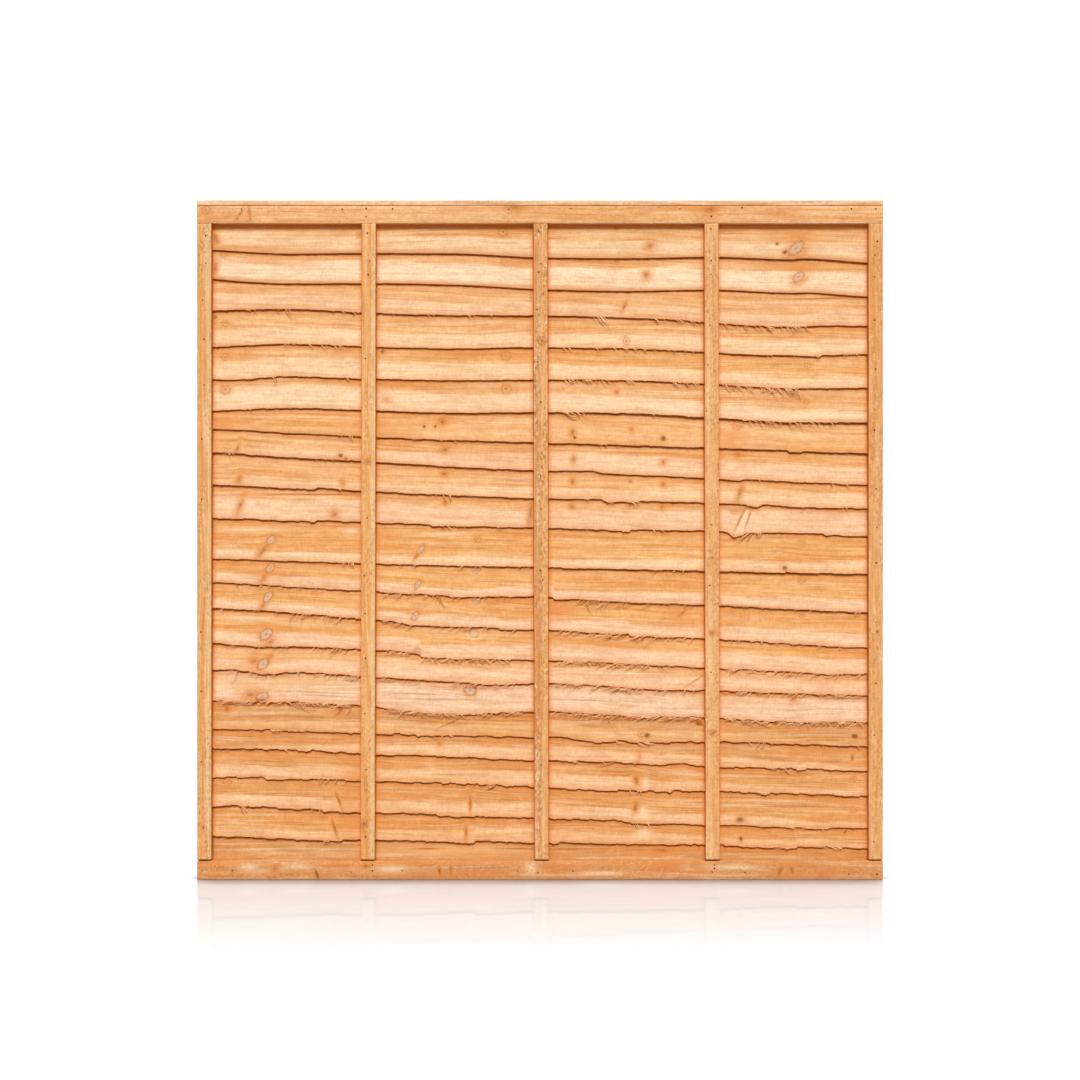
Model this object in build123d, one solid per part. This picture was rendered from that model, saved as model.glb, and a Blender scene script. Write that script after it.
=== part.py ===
from build123d import *
import math
import os

# A six foot waney lap fence panel: 22 thin overlapping slats with wavy lower edges, held
# between a front and a back frame of sawn battens and rails, under a capping strip.
# Millimetres. X runs along the panel, the front looks towards -Y, Z is up from the ground.

# Overall size
PANEL_WIDTH = 1829.0
PANEL_HEIGHT = 1810.0

# Sawn timbers of the two frames
FRAME_TIMBER_THICKNESS = 16.0
TOP_RAIL_HEIGHT = 48.0
BOTTOM_RAIL_HEIGHT = 49.0
BATTEN_WIDTH = 38.0
BATTEN_FOOT_GAP = 2.5

# Capping strip along the top
CAP_THICKNESS = 13.0
CAP_OVERHANG = 1.5
CAP_ARRIS = 2.0

# Lap slats
SLAT_COUNT = 22
SLAT_THICKNESS = 5.0
SLAT_LAP = 24.0
SLAT_END_INSET = 3.0
SLAT_PLAY = 0.2
TOP_SLAT_CLEARANCE = 5.0
FIRST_EDGE_BELOW_TOP = 142.6
LAST_EDGE_ABOVE_GROUND = 93.6
BOTTOM_SLAT_CLEARANCE = 6.0
TEAR_RUN = 5.0

# Square brads, driven from the front flush with the timber. Those of the cap go down past
# its underside for the length that the rails hold
NAIL_SIDE = 2.2
NAIL_POINT_COVER = 5.0
CAP_NAIL_HOLD = 27.0

# Lean of each front batten from its even spacing: shift of its top and of its foot
BATTEN_SHIFTS = [(0.0, 0.0), (0.6, -2.4), (1.3, 4.3), (0.0, 3.5), (0.0, 0.0)]

# How far each slat's lower edge stands above its even pitch line, at nine stations: the
# left end, then bay middles and battens in turn, and the right end
EDGE_OFFSETS = {
    "slat_01": (14, 3, 5, 4, -7, -9, -5, -12, -21),
    "slat_02": (15, 2, 3, -1, -13, -18, -14, -23, -33),
    "slat_03": (9, 13, 3, -4, -4, -11, -24, -35, -33),
    "slat_04": (-10, -2, -9, -14, -11, -14, -24, -33, -29),
    "slat_05": (-18, -10, -17, -21, -19, -21, -31, -43, -41),
    "slat_06": (-24, -16, -22, -29, -27, -30, -42, -54, -55),
    "slat_07": (7, -4, -14, -24, -30, -37, -44, -55, -59),
    "slat_08": (23, 9, -2, -16, -26, -37, -47, -56, -65),
    "slat_09": (15, 5, -3, -14, -22, -31, -34, -45, -49),
    "slat_10": (4, -3, -8, -18, -22, -31, -31, -36, -44),
    "slat_11": (-26, -32, -39, -45, -49, -55, -59, -63, -67),
    "slat_12": (-10, -22, -35, -51, -48, -64, -72, -83, -91),
    "slat_13": (-1, -13, -31, -51, -59, -71, -83, -97, -108),
    "slat_14": (-15, -25, -34, -58, -61, -71, -83, -93, -98),
    "slat_15": (-9, -15, -27, -41, -45, -56, -63, -73, -77),
    "slat_16": (-14, -16, -27, -49, -41, -54, -58, -70, -70),
    "slat_17": (-8, -14, -22, -27, -32, -42, -43, -50, -58),
    "slat_18": (18, 12, 3, -4, -15, -21, -30, -36, -45),
    "slat_19": (18, 14, 9, 2, -8, -15, -18, -25, -32),
    "slat_20": (16, 14, 3, -7, -12, -20, -30, -37, -41),
    "slat_21": (18, 11, 9, 2, 0, -4, -5, -14, -14),
}

# Dips and humps of an edge between its stations: distance from mid panel, offset
EDGE_BENDS = {
    "slat_01": [(-800, 9), (703, -9)],
    "slat_02": [(-800, 8), (703, -22)],
    "slat_03": [(338, -14), (559, -31), (791, -31)],
    "slat_04": [(560, -31)],
    "slat_05": [(-822, -20)],
    "slat_08": [(139, -27), (170, -33), (535, -53), (554, -50)],
    "slat_09": [(546, -38), (578, -45), (602, -39)],
    "slat_10": [(501, -33), (519, -47), (541, -43), (554, -36)],
    "slat_11": [(640, -64)],
    "slat_12": [(93, -55), (170, -62)],
    "slat_13": [(-400, -34), (-355, -45), (170, -69)],
    "slat_14": [(-742, -26), (-390, -37), (791, -100)],
    "slat_15": [(-800, -10), (-742, -21), (-107, -49), (303, -63)],
    "slat_16": [(-435, -30), (138, -49)],
    "slat_17": [(61, -32), (119, -41), (178, -46), (213, -40), (261, -47)],
    "slat_18": [(-142, -11), (330, -28), (351, -24)],
    "slat_19": [(-752, 19), (-726, 13), (159, -17)],
    "slat_20": [(-848, 21), (255, -26), (749, -42), (786, -39)],
    "slat_21": [(647, -14)],
}

# Short steps where the edge has torn along the grain: distance from mid panel, offset
# before the step, offset after it
EDGE_TEARS = {
    "slat_04": [(752, -37, -32)],
    "slat_07": [(665, -51, -56), (701, -56, -53)],
    "slat_09": [(-601, 2, 6), (168, -25, -30), (265, -33, -29)],
    "slat_10": [(-600, -6, -1), (-292, -13, -17), (240, -32, -27), (590, -38, -34),
                (760, -38, -42)],
    "slat_11": [(656, -66, -62)],
    "slat_12": [(-240, -47, -52), (36, -51, -57)],
    "slat_13": [(-109, -53, -58), (238, -69, -76)],
    "slat_14": [(-320, -47, -54)],
    "slat_17": [(-330, -24, -30)],
    "slat_18": [(-613, 9, 13), (688, -36, -42), (713, -40, -36)],
    "slat_19": [(208, -19, -13), (352, -21, -17), (615, -27, -23)],
    "slat_20": [(-583, 11, 5), (-275, -1, -6)],
    "slat_21": [(-529, 5, 10), (-176, 0, 7), (51, -3, 2), (688, -14, -9)],
}

# Brads through each front batten: the slat that it holds, its height above that slat's
# lower edge, and its sideways shift from the middle of the batten
BATTEN_NAILS = [
    [(1, 35, 4), (2, 40, 4), (3, 26, -4), (4, 19, -1), (6, 68, 0), (8, 35, -6),
     (10, 51, -7), (14, 30, -9), (16, 29, -8), (19, 44, -8), (21, 26, -2)],
    [(1, 51, -4), (2, 57, 2), (2, 21, -1), (5, 53, -8), (10, 13, -3), (12, 43, -10),
     (13, 17, -8), (15, 51, -7), (17, 56, -8), (19, 33, -5), (21, 11, -5)],
    [(1, 67, -5), (2, 66, 1), (2, 44, -5), (3, 14, -9), (5, 46, -8), (6, 26, 0),
     (9, 62, -1), (10, 50, -1), (12, 70, -2), (19, 62, -1)],
    [(1, 72, -2), (2, 75, -1), (2, 39, -1), (4, 70, -4), (5, 50, -10), (6, 17, -14),
     (10, 18, -1), (11, 37, 0), (12, 54, -7), (15, 50, -4)],
    [(1, 55, 4), (1, 19, -2), (2, 51, -3), (3, 14, -3), (5, 49, -1), (7, 62, -4),
     (9, 53, 1), (10, 23, 3), (11, 31, 1), (13, 46, 3), (15, 34, 0), (17, 35, -4),
     (21, 21, -5)],
]

# Brads through the front rails: the batten that they are set out from, the distance
# along the rail from it, and the height above the middle of the rail
TOP_RAIL_NAILS = [(0, 100, 15), (1, -70, 14), (1, -6, 16), (1, -6, -6), (1, 64, 15),
                  (2, -83, 14), (2, 83, 17), (3, -84, 15), (3, 0, -5), (3, 82, 18),
                  (4, -65, 15), (4, 0, 15)]
BOTTOM_RAIL_NAILS = [(0, -5, -1), (0, 75, -1), (1, -47, -5), (1, 10, 14), (1, 10, -2),
                     (1, 90, -1), (2, -60, -2), (2, -6, -6), (2, 88, -2), (3, 8, 14),
                     (3, 8, 5), (3, 2, -5), (3, 90, -6), (4, -72, -10), (4, 4, -11)]

# Heights and batten places that follow from the sizes above
TOP_RAIL_TOP = PANEL_HEIGHT - CAP_THICKNESS
TOP_RAIL_FOOT = TOP_RAIL_TOP - TOP_RAIL_HEIGHT
BATTEN_FOOT = BOTTOM_RAIL_HEIGHT + BATTEN_FOOT_GAP
SLAT_PITCH = (PANEL_HEIGHT - FIRST_EDGE_BELOW_TOP - LAST_EDGE_ABOVE_GROUND) / (SLAT_COUNT - 2)
SLAT_LENGTH = PANEL_WIDTH - 2 * SLAT_END_INSET
BAY = PANEL_WIDTH / 4
END_BATTEN_X = (PANEL_WIDTH - BATTEN_WIDTH) / 2
BATTEN_CENTRES = [-END_BATTEN_X, -BAY, 0.0, BAY, END_BATTEN_X]


def stations():
    """The nine places along the panel where the slat edges are set out."""
    places = []
    for left, right in zip(BATTEN_CENTRES, BATTEN_CENTRES[1:]):
        places += [left, (left + right) / 2]
    return places + [BATTEN_CENTRES[-1]]


def slat_name(number):
    """Name of one slat, counted from the top."""
    return f"slat_{number:02d}"


def pitch_line(number):
    """Height of the even pitch line of one slat's lower edge."""
    return PANEL_HEIGHT - FIRST_EDGE_BELOW_TOP - (number - 1) * SLAT_PITCH


def edge_runs(number):
    """The lower edge of one slat as smooth runs of points, parted by its torn steps."""
    end = SLAT_LENGTH / 2
    if number == SLAT_COUNT:
        return [[(-end, BOTTOM_SLAT_CLEARANCE), (end, BOTTOM_SLAT_CLEARANCE)]]
    name = slat_name(number)
    offsets = EDGE_OFFSETS[name]
    points = list(zip(stations(), offsets)) + EDGE_BENDS.get(name, [])
    points += [(-end, offsets[0]), (end, offsets[-1])]
    starts = []
    for x, before, after in EDGE_TEARS.get(name, []):
        points += [(x - TEAR_RUN / 2, before), (x + TEAR_RUN / 2, after)]
        starts.append(x)
    runs = [[] for _ in range(len(starts) + 1)]
    for x, offset in sorted(points):
        run = sum(x > start for start in starts)
        runs[run].append((x, pitch_line(number) + offset))
    return runs


def edge_height(number, x):
    """Height of one slat's lower edge at a place along the panel."""
    points = [point for run in edge_runs(number) for point in run]
    for (x0, z0), (x1, z1) in zip(points, points[1:]):
        if x0 <= x <= x1:
            return z0 + (z1 - z0) * (x - x0) / (x1 - x0)
    return points[0][1] if x < points[0][0] else points[-1][1]


def chord(number):
    """Straight line between the ends of a slat's lower edge: height at mid panel, slope."""
    points = [point for run in edge_runs(number) for point in run]
    (x0, z0), (x1, z1) = points[0], points[-1]
    slope = (z1 - z0) / (x1 - x0)
    return z0 - slope * x0, slope


def shift_beside(number, highest):
    """How far a slat's edge strays above its chord, or below it."""
    middle, slope = chord(number)
    strays = [z - middle - slope * x for run in edge_runs(number) for x, z in run]
    return max(strays) if highest else min(strays)


def top_line(number):
    """Sawn upper edge of a slat, a lap above the edge that covers it: middle, slope."""
    if number == 1:
        return TOP_RAIL_TOP - TOP_SLAT_CLEARANCE, 0.0
    middle, slope = chord(number - 1)
    return middle + shift_beside(number - 1, True) + SLAT_LAP, slope


def hinge_line(number):
    """Line on the front battens that a slat leans back from, under its whole lower edge."""
    middle, slope = chord(number)
    return middle + shift_beside(number, False), slope


def rise(number, x, z):
    """Distance of a point in the front view above a slat's hinge line."""
    middle, slope = hinge_line(number)
    return (z - middle - slope * x) * math.cos(math.atan(slope))


def thickness_along_y(lean):
    """A leaning slat's thickness measured straight through the panel."""
    return SLAT_THICKNESS * math.sqrt(1 + lean * lean)


def leans_of_slats():
    """Lean of every slat: the least that keeps its face behind the slat above."""
    leans = {1: 0.0}
    for number in range(2, SLAT_COUNT + 1):
        above = number - 1
        behind = thickness_along_y(leans[above]) + SLAT_PLAY
        middle, slope = top_line(number)
        needs = []
        for run in edge_runs(above):
            for x, low in run:
                for z in (low, middle + slope * x):
                    reach = rise(above, x, z) * leans[above] + behind
                    needs.append(reach / rise(number, x, z))
        leans[number] = max(needs)
    return leans


def slat_space(leans):
    """Clear space between the front and back battens that the leaning slats need."""
    depths = []
    for number, lean in leans.items():
        middle, slope = top_line(number)
        for x in (-SLAT_LENGTH / 2, SLAT_LENGTH / 2):
            top = rise(number, x, middle + slope * x)
            depths.append(top * lean + thickness_along_y(lean))
    return max(depths)


LEANS = leans_of_slats()
SLAT_SPACE = slat_space(LEANS)
INNER_Y = SLAT_SPACE / 2
OUTER_Y = INNER_Y + FRAME_TIMBER_THICKNESS


def front_batten_x(index, z):
    """Middle of a front batten at a given height, with its slight lean."""
    top, foot = BATTEN_SHIFTS[index]
    share = (z - BATTEN_FOOT) / (TOP_RAIL_FOOT - BATTEN_FOOT)
    return BATTEN_CENTRES[index] + foot + (top - foot) * share


def batten_nail_places(index):
    """Where the brads of one front batten go in: places along and up the panel."""
    places = []
    for slat, height, shift in BATTEN_NAILS[index]:
        z = edge_height(slat, BATTEN_CENTRES[index]) + height
        places.append((front_batten_x(index, z) + shift, z))
    return places


def rail_nail_places(nails, middle):
    """Where the brads of one front rail go in."""
    return [(BATTEN_CENTRES[index] + along, middle + up) for index, along, up in nails]


def face_nails(places):
    """Brads from the front face back into the rear frame, short of its back face."""
    length = 2 * OUTER_Y - NAIL_POINT_COVER
    return [Pos(x, -OUTER_Y + length / 2, z) * Box(NAIL_SIDE, length, NAIL_SIDE)
            for x, z in places]


def cap_nails():
    """Brads down through the capping strip into both top rails at each batten."""
    across = INNER_Y + FRAME_TIMBER_THICKNESS / 2
    length = CAP_THICKNESS + CAP_NAIL_HOLD
    middle = PANEL_HEIGHT - length / 2
    inset = BATTEN_WIDTH / 2
    xs = [BATTEN_CENTRES[0] + inset] + BATTEN_CENTRES[1:-1] + [BATTEN_CENTRES[-1] - inset]
    return [Pos(x, side * across, middle) * Box(NAIL_SIDE, NAIL_SIDE, length)
            for x in xs for side in (-1, 1)]


def drilled(solid, nails):
    """A timber with a hole for every brad that reaches it."""
    box = solid.bounding_box()
    reach = NAIL_SIDE
    hits = []
    for nail in nails:
        low, high = nail.bounding_box().min, nail.bounding_box().max
        if (low.X < box.max.X + reach and high.X > box.min.X - reach
                and low.Y < box.max.Y and high.Y > box.min.Y
                and low.Z < box.max.Z + reach and high.Z > box.min.Z - reach):
            hits.append(nail)
    return solid - hits if hits else solid


def front_view_prism(outline, y0, y1):
    """A closed outline drawn in the front view, carried from y0 back to y1."""
    face = Plane.XZ * make_face(outline)
    return Pos(0, y0, 0) * extrude(face, amount=y0 - y1)


def rail(foot, height, y0):
    """One sawn rail along the full width of the panel."""
    middle = Pos(0, y0 + FRAME_TIMBER_THICKNESS / 2, foot + height / 2)
    return middle * Box(PANEL_WIDTH, FRAME_TIMBER_THICKNESS, height)


def batten(foot_x, top_x, y0):
    """One sawn upright batten between the rails, its ends cut level."""
    half = BATTEN_WIDTH / 2
    outline = Polyline((foot_x - half, BATTEN_FOOT), (foot_x + half, BATTEN_FOOT),
                       (top_x + half, TOP_RAIL_FOOT), (top_x - half, TOP_RAIL_FOOT),
                       close=True)
    return front_view_prism(outline, y0, y0 + FRAME_TIMBER_THICKNESS)


def cap_strip():
    """Capping strip, a little deeper than the frame, with its top arrises taken off."""
    depth = 2 * (OUTER_Y + CAP_OVERHANG)
    strip = Pos(0, 0, PANEL_HEIGHT - CAP_THICKNESS / 2) * Box(PANEL_WIDTH, depth, CAP_THICKNESS)
    long_top_edges = strip.edges().filter_by(Axis.X).group_by(Axis.Z)[-1]
    return chamfer(long_top_edges, CAP_ARRIS)


def slopes_along(run):
    """Slope of a smooth edge at each of its points, with no hump that isn't in them."""
    grades = [(z1 - z0) / (x1 - x0) for (x0, z0), (x1, z1) in zip(run, run[1:])]
    slopes = [grades[0]]
    for before, after in zip(grades, grades[1:]):
        rising_on = before * after > 0
        slopes.append(2 * before * after / (before + after) if rising_on else 0.0)
    return slopes + [grades[-1]]


def smooth_run(run):
    """Curves through the points of one run, each meeting the next at the same slope."""
    slopes = slopes_along(run)
    curves = []
    for i in range(len(run) - 1):
        (x0, z0), (x1, z1) = run[i], run[i + 1]
        third = (x1 - x0) / 3
        leaving = (x0 + third, z0 + slopes[i] * third)
        arriving = (x1 - third, z1 - slopes[i + 1] * third)
        curves.append(Bezier(run[i], leaving, arriving, run[i + 1]))
    return curves


def slat_outline(number):
    """Front view of one slat: wavy and torn below, straight and sawn above."""
    lines = []
    last = None
    for run in edge_runs(number):
        if last:
            lines.append(Line(last, run[0]))
        lines += smooth_run(run)
        last = run[-1]
    middle, slope = top_line(number)
    end = SLAT_LENGTH / 2
    first = edge_runs(number)[0][0]
    corners = [last, (end, middle + slope * end), (-end, middle - slope * end), first]
    lines += [Line(start, stop) for start, stop in zip(corners, corners[1:])]
    return lines


def slat(number):
    """One slat: its outline cut from a board that leans back behind the slat above."""
    lean = LEANS[number]
    middle, slope = hinge_line(number)
    turn = math.atan(slope)
    along = (math.cos(turn), 0, math.sin(turn))
    back = (lean * math.sin(turn), 1, -lean * math.cos(turn))
    face = Plane(origin=(0, -INNER_Y, middle), x_dir=along, z_dir=back)
    board = face * Box(2 * PANEL_WIDTH, PANEL_HEIGHT, SLAT_THICKNESS,
                       align=(Align.CENTER, Align.CENTER, Align.MIN))
    reach = INNER_Y + SLAT_THICKNESS
    return front_view_prism(slat_outline(number), -reach, reach) & board


def front_nail_groups():
    """The brads that are driven from the front, in groups by the timber they enter."""
    groups = {f"nails_batten_{i + 1}": face_nails(batten_nail_places(i)) for i in range(5)}
    top_middle = TOP_RAIL_FOOT + TOP_RAIL_HEIGHT / 2
    bottom_middle = BOTTOM_RAIL_HEIGHT / 2
    groups["nails_top_rail"] = face_nails(rail_nail_places(TOP_RAIL_NAILS, top_middle))
    groups["nails_bottom_rail"] = face_nails(rail_nail_places(BOTTOM_RAIL_NAILS, bottom_middle))
    return groups


def timbers():
    """Every wooden piece before its nail holes."""
    parts = {"cap_strip": cap_strip()}
    for side, y0 in (("front", -OUTER_Y), ("back", INNER_Y)):
        parts[f"top_rail_{side}"] = rail(TOP_RAIL_FOOT, TOP_RAIL_HEIGHT, y0)
        parts[f"bottom_rail_{side}"] = rail(0, BOTTOM_RAIL_HEIGHT, y0)
        for index, centre in enumerate(BATTEN_CENTRES):
            top, foot = BATTEN_SHIFTS[index] if side == "front" else (0, 0)
            parts[f"batten_{side}_{index + 1}"] = batten(centre + foot, centre + top, y0)
    for number in range(1, SLAT_COUNT + 1):
        parts[slat_name(number)] = slat(number)
    return parts


def write_parts():
    """Drill every timber, then write all pieces to their own files."""
    os.makedirs("parts", exist_ok=True)
    groups = front_nail_groups()
    groups["nails_cap"] = cap_nails()
    nails = [nail for group in groups.values() for nail in group]
    for name, solid in timbers().items():
        export_step(drilled(solid, nails), f"parts/{name}.step")
    for name, group in groups.items():
        export_step(Compound(children=group), f"parts/{name}.step")


write_parts()
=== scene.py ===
import math
import random
from collections import namedtuple

import bpy
import numpy as np
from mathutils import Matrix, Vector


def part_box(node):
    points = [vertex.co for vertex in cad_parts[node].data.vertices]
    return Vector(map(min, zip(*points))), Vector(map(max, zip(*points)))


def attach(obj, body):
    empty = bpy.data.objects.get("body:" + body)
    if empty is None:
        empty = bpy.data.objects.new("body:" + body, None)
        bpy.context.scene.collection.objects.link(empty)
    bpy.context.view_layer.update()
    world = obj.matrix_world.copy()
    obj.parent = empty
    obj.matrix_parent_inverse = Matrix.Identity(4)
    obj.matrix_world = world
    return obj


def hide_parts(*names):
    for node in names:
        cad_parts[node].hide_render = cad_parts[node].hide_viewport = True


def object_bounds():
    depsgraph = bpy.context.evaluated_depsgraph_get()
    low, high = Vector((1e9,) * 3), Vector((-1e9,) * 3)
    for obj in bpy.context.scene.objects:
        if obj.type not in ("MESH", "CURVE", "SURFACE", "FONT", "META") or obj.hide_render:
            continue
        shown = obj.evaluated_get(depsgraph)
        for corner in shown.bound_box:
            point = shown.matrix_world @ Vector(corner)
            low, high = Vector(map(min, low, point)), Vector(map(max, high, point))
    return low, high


# A waney lap fence panel. Metres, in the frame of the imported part: X along the panel, the
# front looks towards -Y, Z up from the ground. Places on the panel are given in
# millimetres from mid panel and from the ground.
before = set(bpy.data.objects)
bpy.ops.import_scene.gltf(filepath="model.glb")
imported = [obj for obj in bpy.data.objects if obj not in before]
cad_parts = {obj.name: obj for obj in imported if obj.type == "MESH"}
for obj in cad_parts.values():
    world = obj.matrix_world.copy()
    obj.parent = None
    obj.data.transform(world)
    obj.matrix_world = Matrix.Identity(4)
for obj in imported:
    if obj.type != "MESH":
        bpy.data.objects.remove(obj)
CAD_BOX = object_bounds()
MM = 0.001
SAME_PLANE = 0.01 * MM

# Slat meshes: rows of the section, as heights or as shares of the slat's height, up the
# front, down the back and round the lower edge, and how deep the top and lower rows lie
SLAT_STEP = 3.5 * MM
FRONT_ROWS = np.array([0.9, 2.2, 4.5, 8.0, 14.0]) * MM
FRONT_SHARES = np.array([0.22, 0.34, 0.47, 0.60, 0.73, 0.86])
BACK_SHARES = np.array([0.9, 0.7, 0.5, 0.3])
BACK_ROWS = np.array([6.0, 2.6]) * MM
UNDER_ROWS = np.array([1.7, 0.7, 0.0]) * MM
TOP_DEPTHS = (0.12, 0.88)
UNDER_DEPTHS = (0.9, 0.5, 0.14)
ROUNDED = 1.8 * MM
SAWN_RIM = 0.6 * MM
END_INSET = 0.02 * MM
JAG_FADE = 7 * MM

# Timber and brad meshes; the depth of the ends, the radius of the brads and the rises of
# their heads' profile are in millimetres, the profile's radii are shares
TIMBER_STEP = 6.0 * MM
END_RIM = 0.7 * MM
END_SUNK = 0.7
HEAD_SPAN = 3.6 * MM
CAP_SUNK = 0.25 * MM
BRAD_SIDES = 12
BRAD_RADIUS = (1.8, 2.5)
BRAD_HEAD = ((0.05, 0.02), (0.5, 0.16), (0.85, 0.2), (1.0, 0.02), (0.98, -0.5))
BRAD_SHANK = 1.1 * MM

# Unevenness: depth in millimetres for the sawn faces, sizes of its cells, and a seed to
# which the number of the slat or the timber is added
LINE_START = -1.0
LINE_LENGTH = 3.0
COARSE_JAGS = (23 * MM, 99)
FINE_JAGS = (8 * MM, 199)
JAG_PATCHES = (90 * MM, 599)
TEARS = (22 * MM, 899)
SAPWOOD_WAVES = (120 * MM, 499)
FRONT_FACE = (0.22, 26 * MM, 9 * MM, 299)
BACK_FACE = (0.3, 30 * MM, 12 * MM, 399)
SAW_WAVER = (0.16, 38 * MM, 5 * MM, 700)
SAW_SWEEP = (0.12, 160 * MM, 30 * MM, 800)

# Colours of the dip-treated softwood, sRGB
TAN = (242, 187, 128)
ORANGE = (240, 179, 112)
AMBER = (228, 163, 98)
RUST = (218, 150, 92)
DEEP = (228, 146, 74)
PALE = (251, 212, 166)
CREAM = (251, 215, 172)
PINK = (248, 206, 165)
MILK = (253, 224, 184)
BROWN = (182, 104, 46)
DARK = (100, 58, 30)
GREY = (222, 184, 150)
STRAW = (239, 200, 144)
HONEY = (233, 172, 108)
BLUSH = (248, 202, 154)
SHELL = (245, 206, 168)
FAWN = (221, 160, 102)
UMBER = (209, 153, 96)
RED = (226, 132, 70)
# EDGE_BROWN also paints thin shadows beside the battens and under the cap. The next three are
# tones of painted shade: soft shade under the laps and beside the battens (the first also gives
# the warmer tone above each slat's lower edge), the dark line under each lap, and the band under
# the top rail
EDGE_BROWN = (206, 108, 30)
SHADE_AND_EDGE_TONE = (214, 124, 48)
LAP_SHADOW_TONE = (190, 98, 12)
RAIL_SHADE = (240, 128, 34)
GRAIN_LINE = (200, 118, 54)
FLECK = (172, 118, 68)
NAIL_RUST = (104, 62, 36)
NAIL_STEEL = (68, 48, 35)

# The slats from the top down: tone of the face and of the sapwood along the lower edge,
# height of that sapwood at three places in millimetres, how much of it shows, roughness of
# the edge in millimetres, strength of the growth lines and of the warmer tone above the edge
PLAIN_VEINS = 0.45
Look = namedtuple("Look", "face sapwood heights share jags veins warmth",
                  defaults=(PLAIN_VEINS, 0.40))
LOOKS = dict(enumerate([
    Look(TAN, PALE, (45, 47, 46), 0.85, 0.3, warmth=0.60),
    Look(TAN, MILK, (62, 60, 62), 1.0, 0.4, warmth=0.70),
    Look(TAN, PINK, (50, 33, 38), 0.7, 1.2),
    Look(TAN, PALE, (46, 36, 44), 1.0, 1.0),
    Look(ORANGE, PALE, (55, 42, 29), 1.0, 1.3),
    Look(TAN, CREAM, (63, 52, 28), 1.0, 1.1),
    Look(TAN, TAN, (8, 55, 44), 0.8, 1.2),
    Look(TAN, PINK, (12, 50, 49), 0.9, 1.4),
    Look(TAN, PALE, (18, 30, 37), 0.8, 1.4),
    Look(TAN, PINK, (59, 47, 66), 0.9, 1.5),
    Look(ORANGE, PALE, (29, 24, 32), 1.0, 1.3),
    Look(ORANGE, PINK, (28, 24, 32), 1.0, 1.6),
    Look(ORANGE, PINK, (23, 31, 38), 1.0, 1.7),
    Look(ORANGE, PINK, (34, 42, 41), 1.0, 1.8),
    Look(TAN, PINK, (28, 44, 37), 0.9, 1.9),
    Look(PINK, SHELL, (60, 68, 60), 1.0, 2.2, 0.70),
    Look(FAWN, TAN, (22, 42, 10), 0.8, 2.5, 0.85),
    Look(FAWN, BLUSH, (4, 42, 10), 0.9, 2.6, 0.75),
    Look(AMBER, BLUSH, (32, 40, 12), 0.8, 2.5, 0.75),
    Look(AMBER, BLUSH, (32, 40, 16), 0.85, 2.5, 0.70),
    Look(AMBER, BLUSH, (22, 36, 14), 0.7, 2.3, 0.70),
    Look(UMBER, AMBER, (20, 20, 20), 0.2, 0.0, 0.60),
], start=1))
SAPWOOD_PLACES = (-872 * MM, 13 * MM, 874 * MM)
SLOPE_REACH = 0.8

# Painted shade below an edge that laps over a slat: how far below the edge it reaches, in
# millimetres, its strength and tone, and how much of that strength shows at the back
LAP = (4.0, 0.9, LAP_SHADOW_TONE)
# The first slat's broader painted shadow under the top rail
LAP_UNDER_RAIL = (12.0, 0.75, RAIL_SHADE)
BACK_LAP = 0.55

# Layers of the softwood's figure: the line that they follow, cells in a metre along it and
# across it, detail, roughness
FIGURE = {
    "streaks": ("grain", 3.2, 105.0, 3.0, 0.55),
    "lines": ("grain", 5.0, 260.0, 2.0, 0.5),
    "fibres": ("grain", 60.0, 480.0, 2.0, 0.7),
    "saw": ("across", 260.0, 75.0, 2.0, 0.6),
    "mottle": ("across", 9.0, 34.0, 4.0, 0.6),
    "blotch": ("across", 2.6, 11.0, 2.0, 0.5),
    "cloud": ("across", 22.0, 60.0, 3.0, 0.6),
}

# Tints that the layers give: values from and to, strength at those, whether it is calmer
# in the sapwood, and the colour
TINTS = [
    ("streaks", 0.46, 0.68, 0.0, 0.66, True, DEEP),
    ("streaks", 0.30, 0.50, 0.50, 0.0, True, PALE),
    ("blotch", 0.46, 0.70, 0.0, 0.35, True, DEEP),
    ("mottle", 0.54, 0.76, 0.0, 0.35, False, CREAM),
    ("lines", 0.50, 0.72, 0.0, 1.0, True, GRAIN_LINE),
]
SAPWOOD_CALM = 0.42

# How much the layers darken and lighten the wood, and their shares of its relief
SHADING = {"fibres": (0.90, 1.06), "saw": (0.92, 1.05), "cloud": (0.89, 1.07)}
RELIEF = {"lines": 0.5, "fibres": 0.35, "saw": 0.30, "streaks": 0.6}

# Roughness and specular level, and strength and depth of the bumps
WOOD_FINISH = (0.82, 0.22)
WOOD_BUMP = (0.45, 0.7 * MM)
FIBRE_FINISH = (0.75, 0.2)
NAIL_SPECULAR = 0.2
NAIL_BUMP = (0.5, 0.1 * MM)

# Cells in a metre, along and across, of the noise that unsettles a line or a patch
GRAIN_DRIFT = (1.7, 9.0)
DRIFT_REACH = 0.045
TIMBER_SPACING = 1.37
MARK_RUFFLE = (140.0, 220.0)
RUFFLE_REACH = 1.3
SAPWOOD_FUZZ = (7.0, 90.0)
EDGE_FUZZ = (45.0, 90.0)
STRIP_FUZZ = (5.0, 70.0)
FLECK_RATES = (100.0, 180.0)
FLECK_PATCHES = (7.0, 45.0)
RUST_RATE = 900.0

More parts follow.
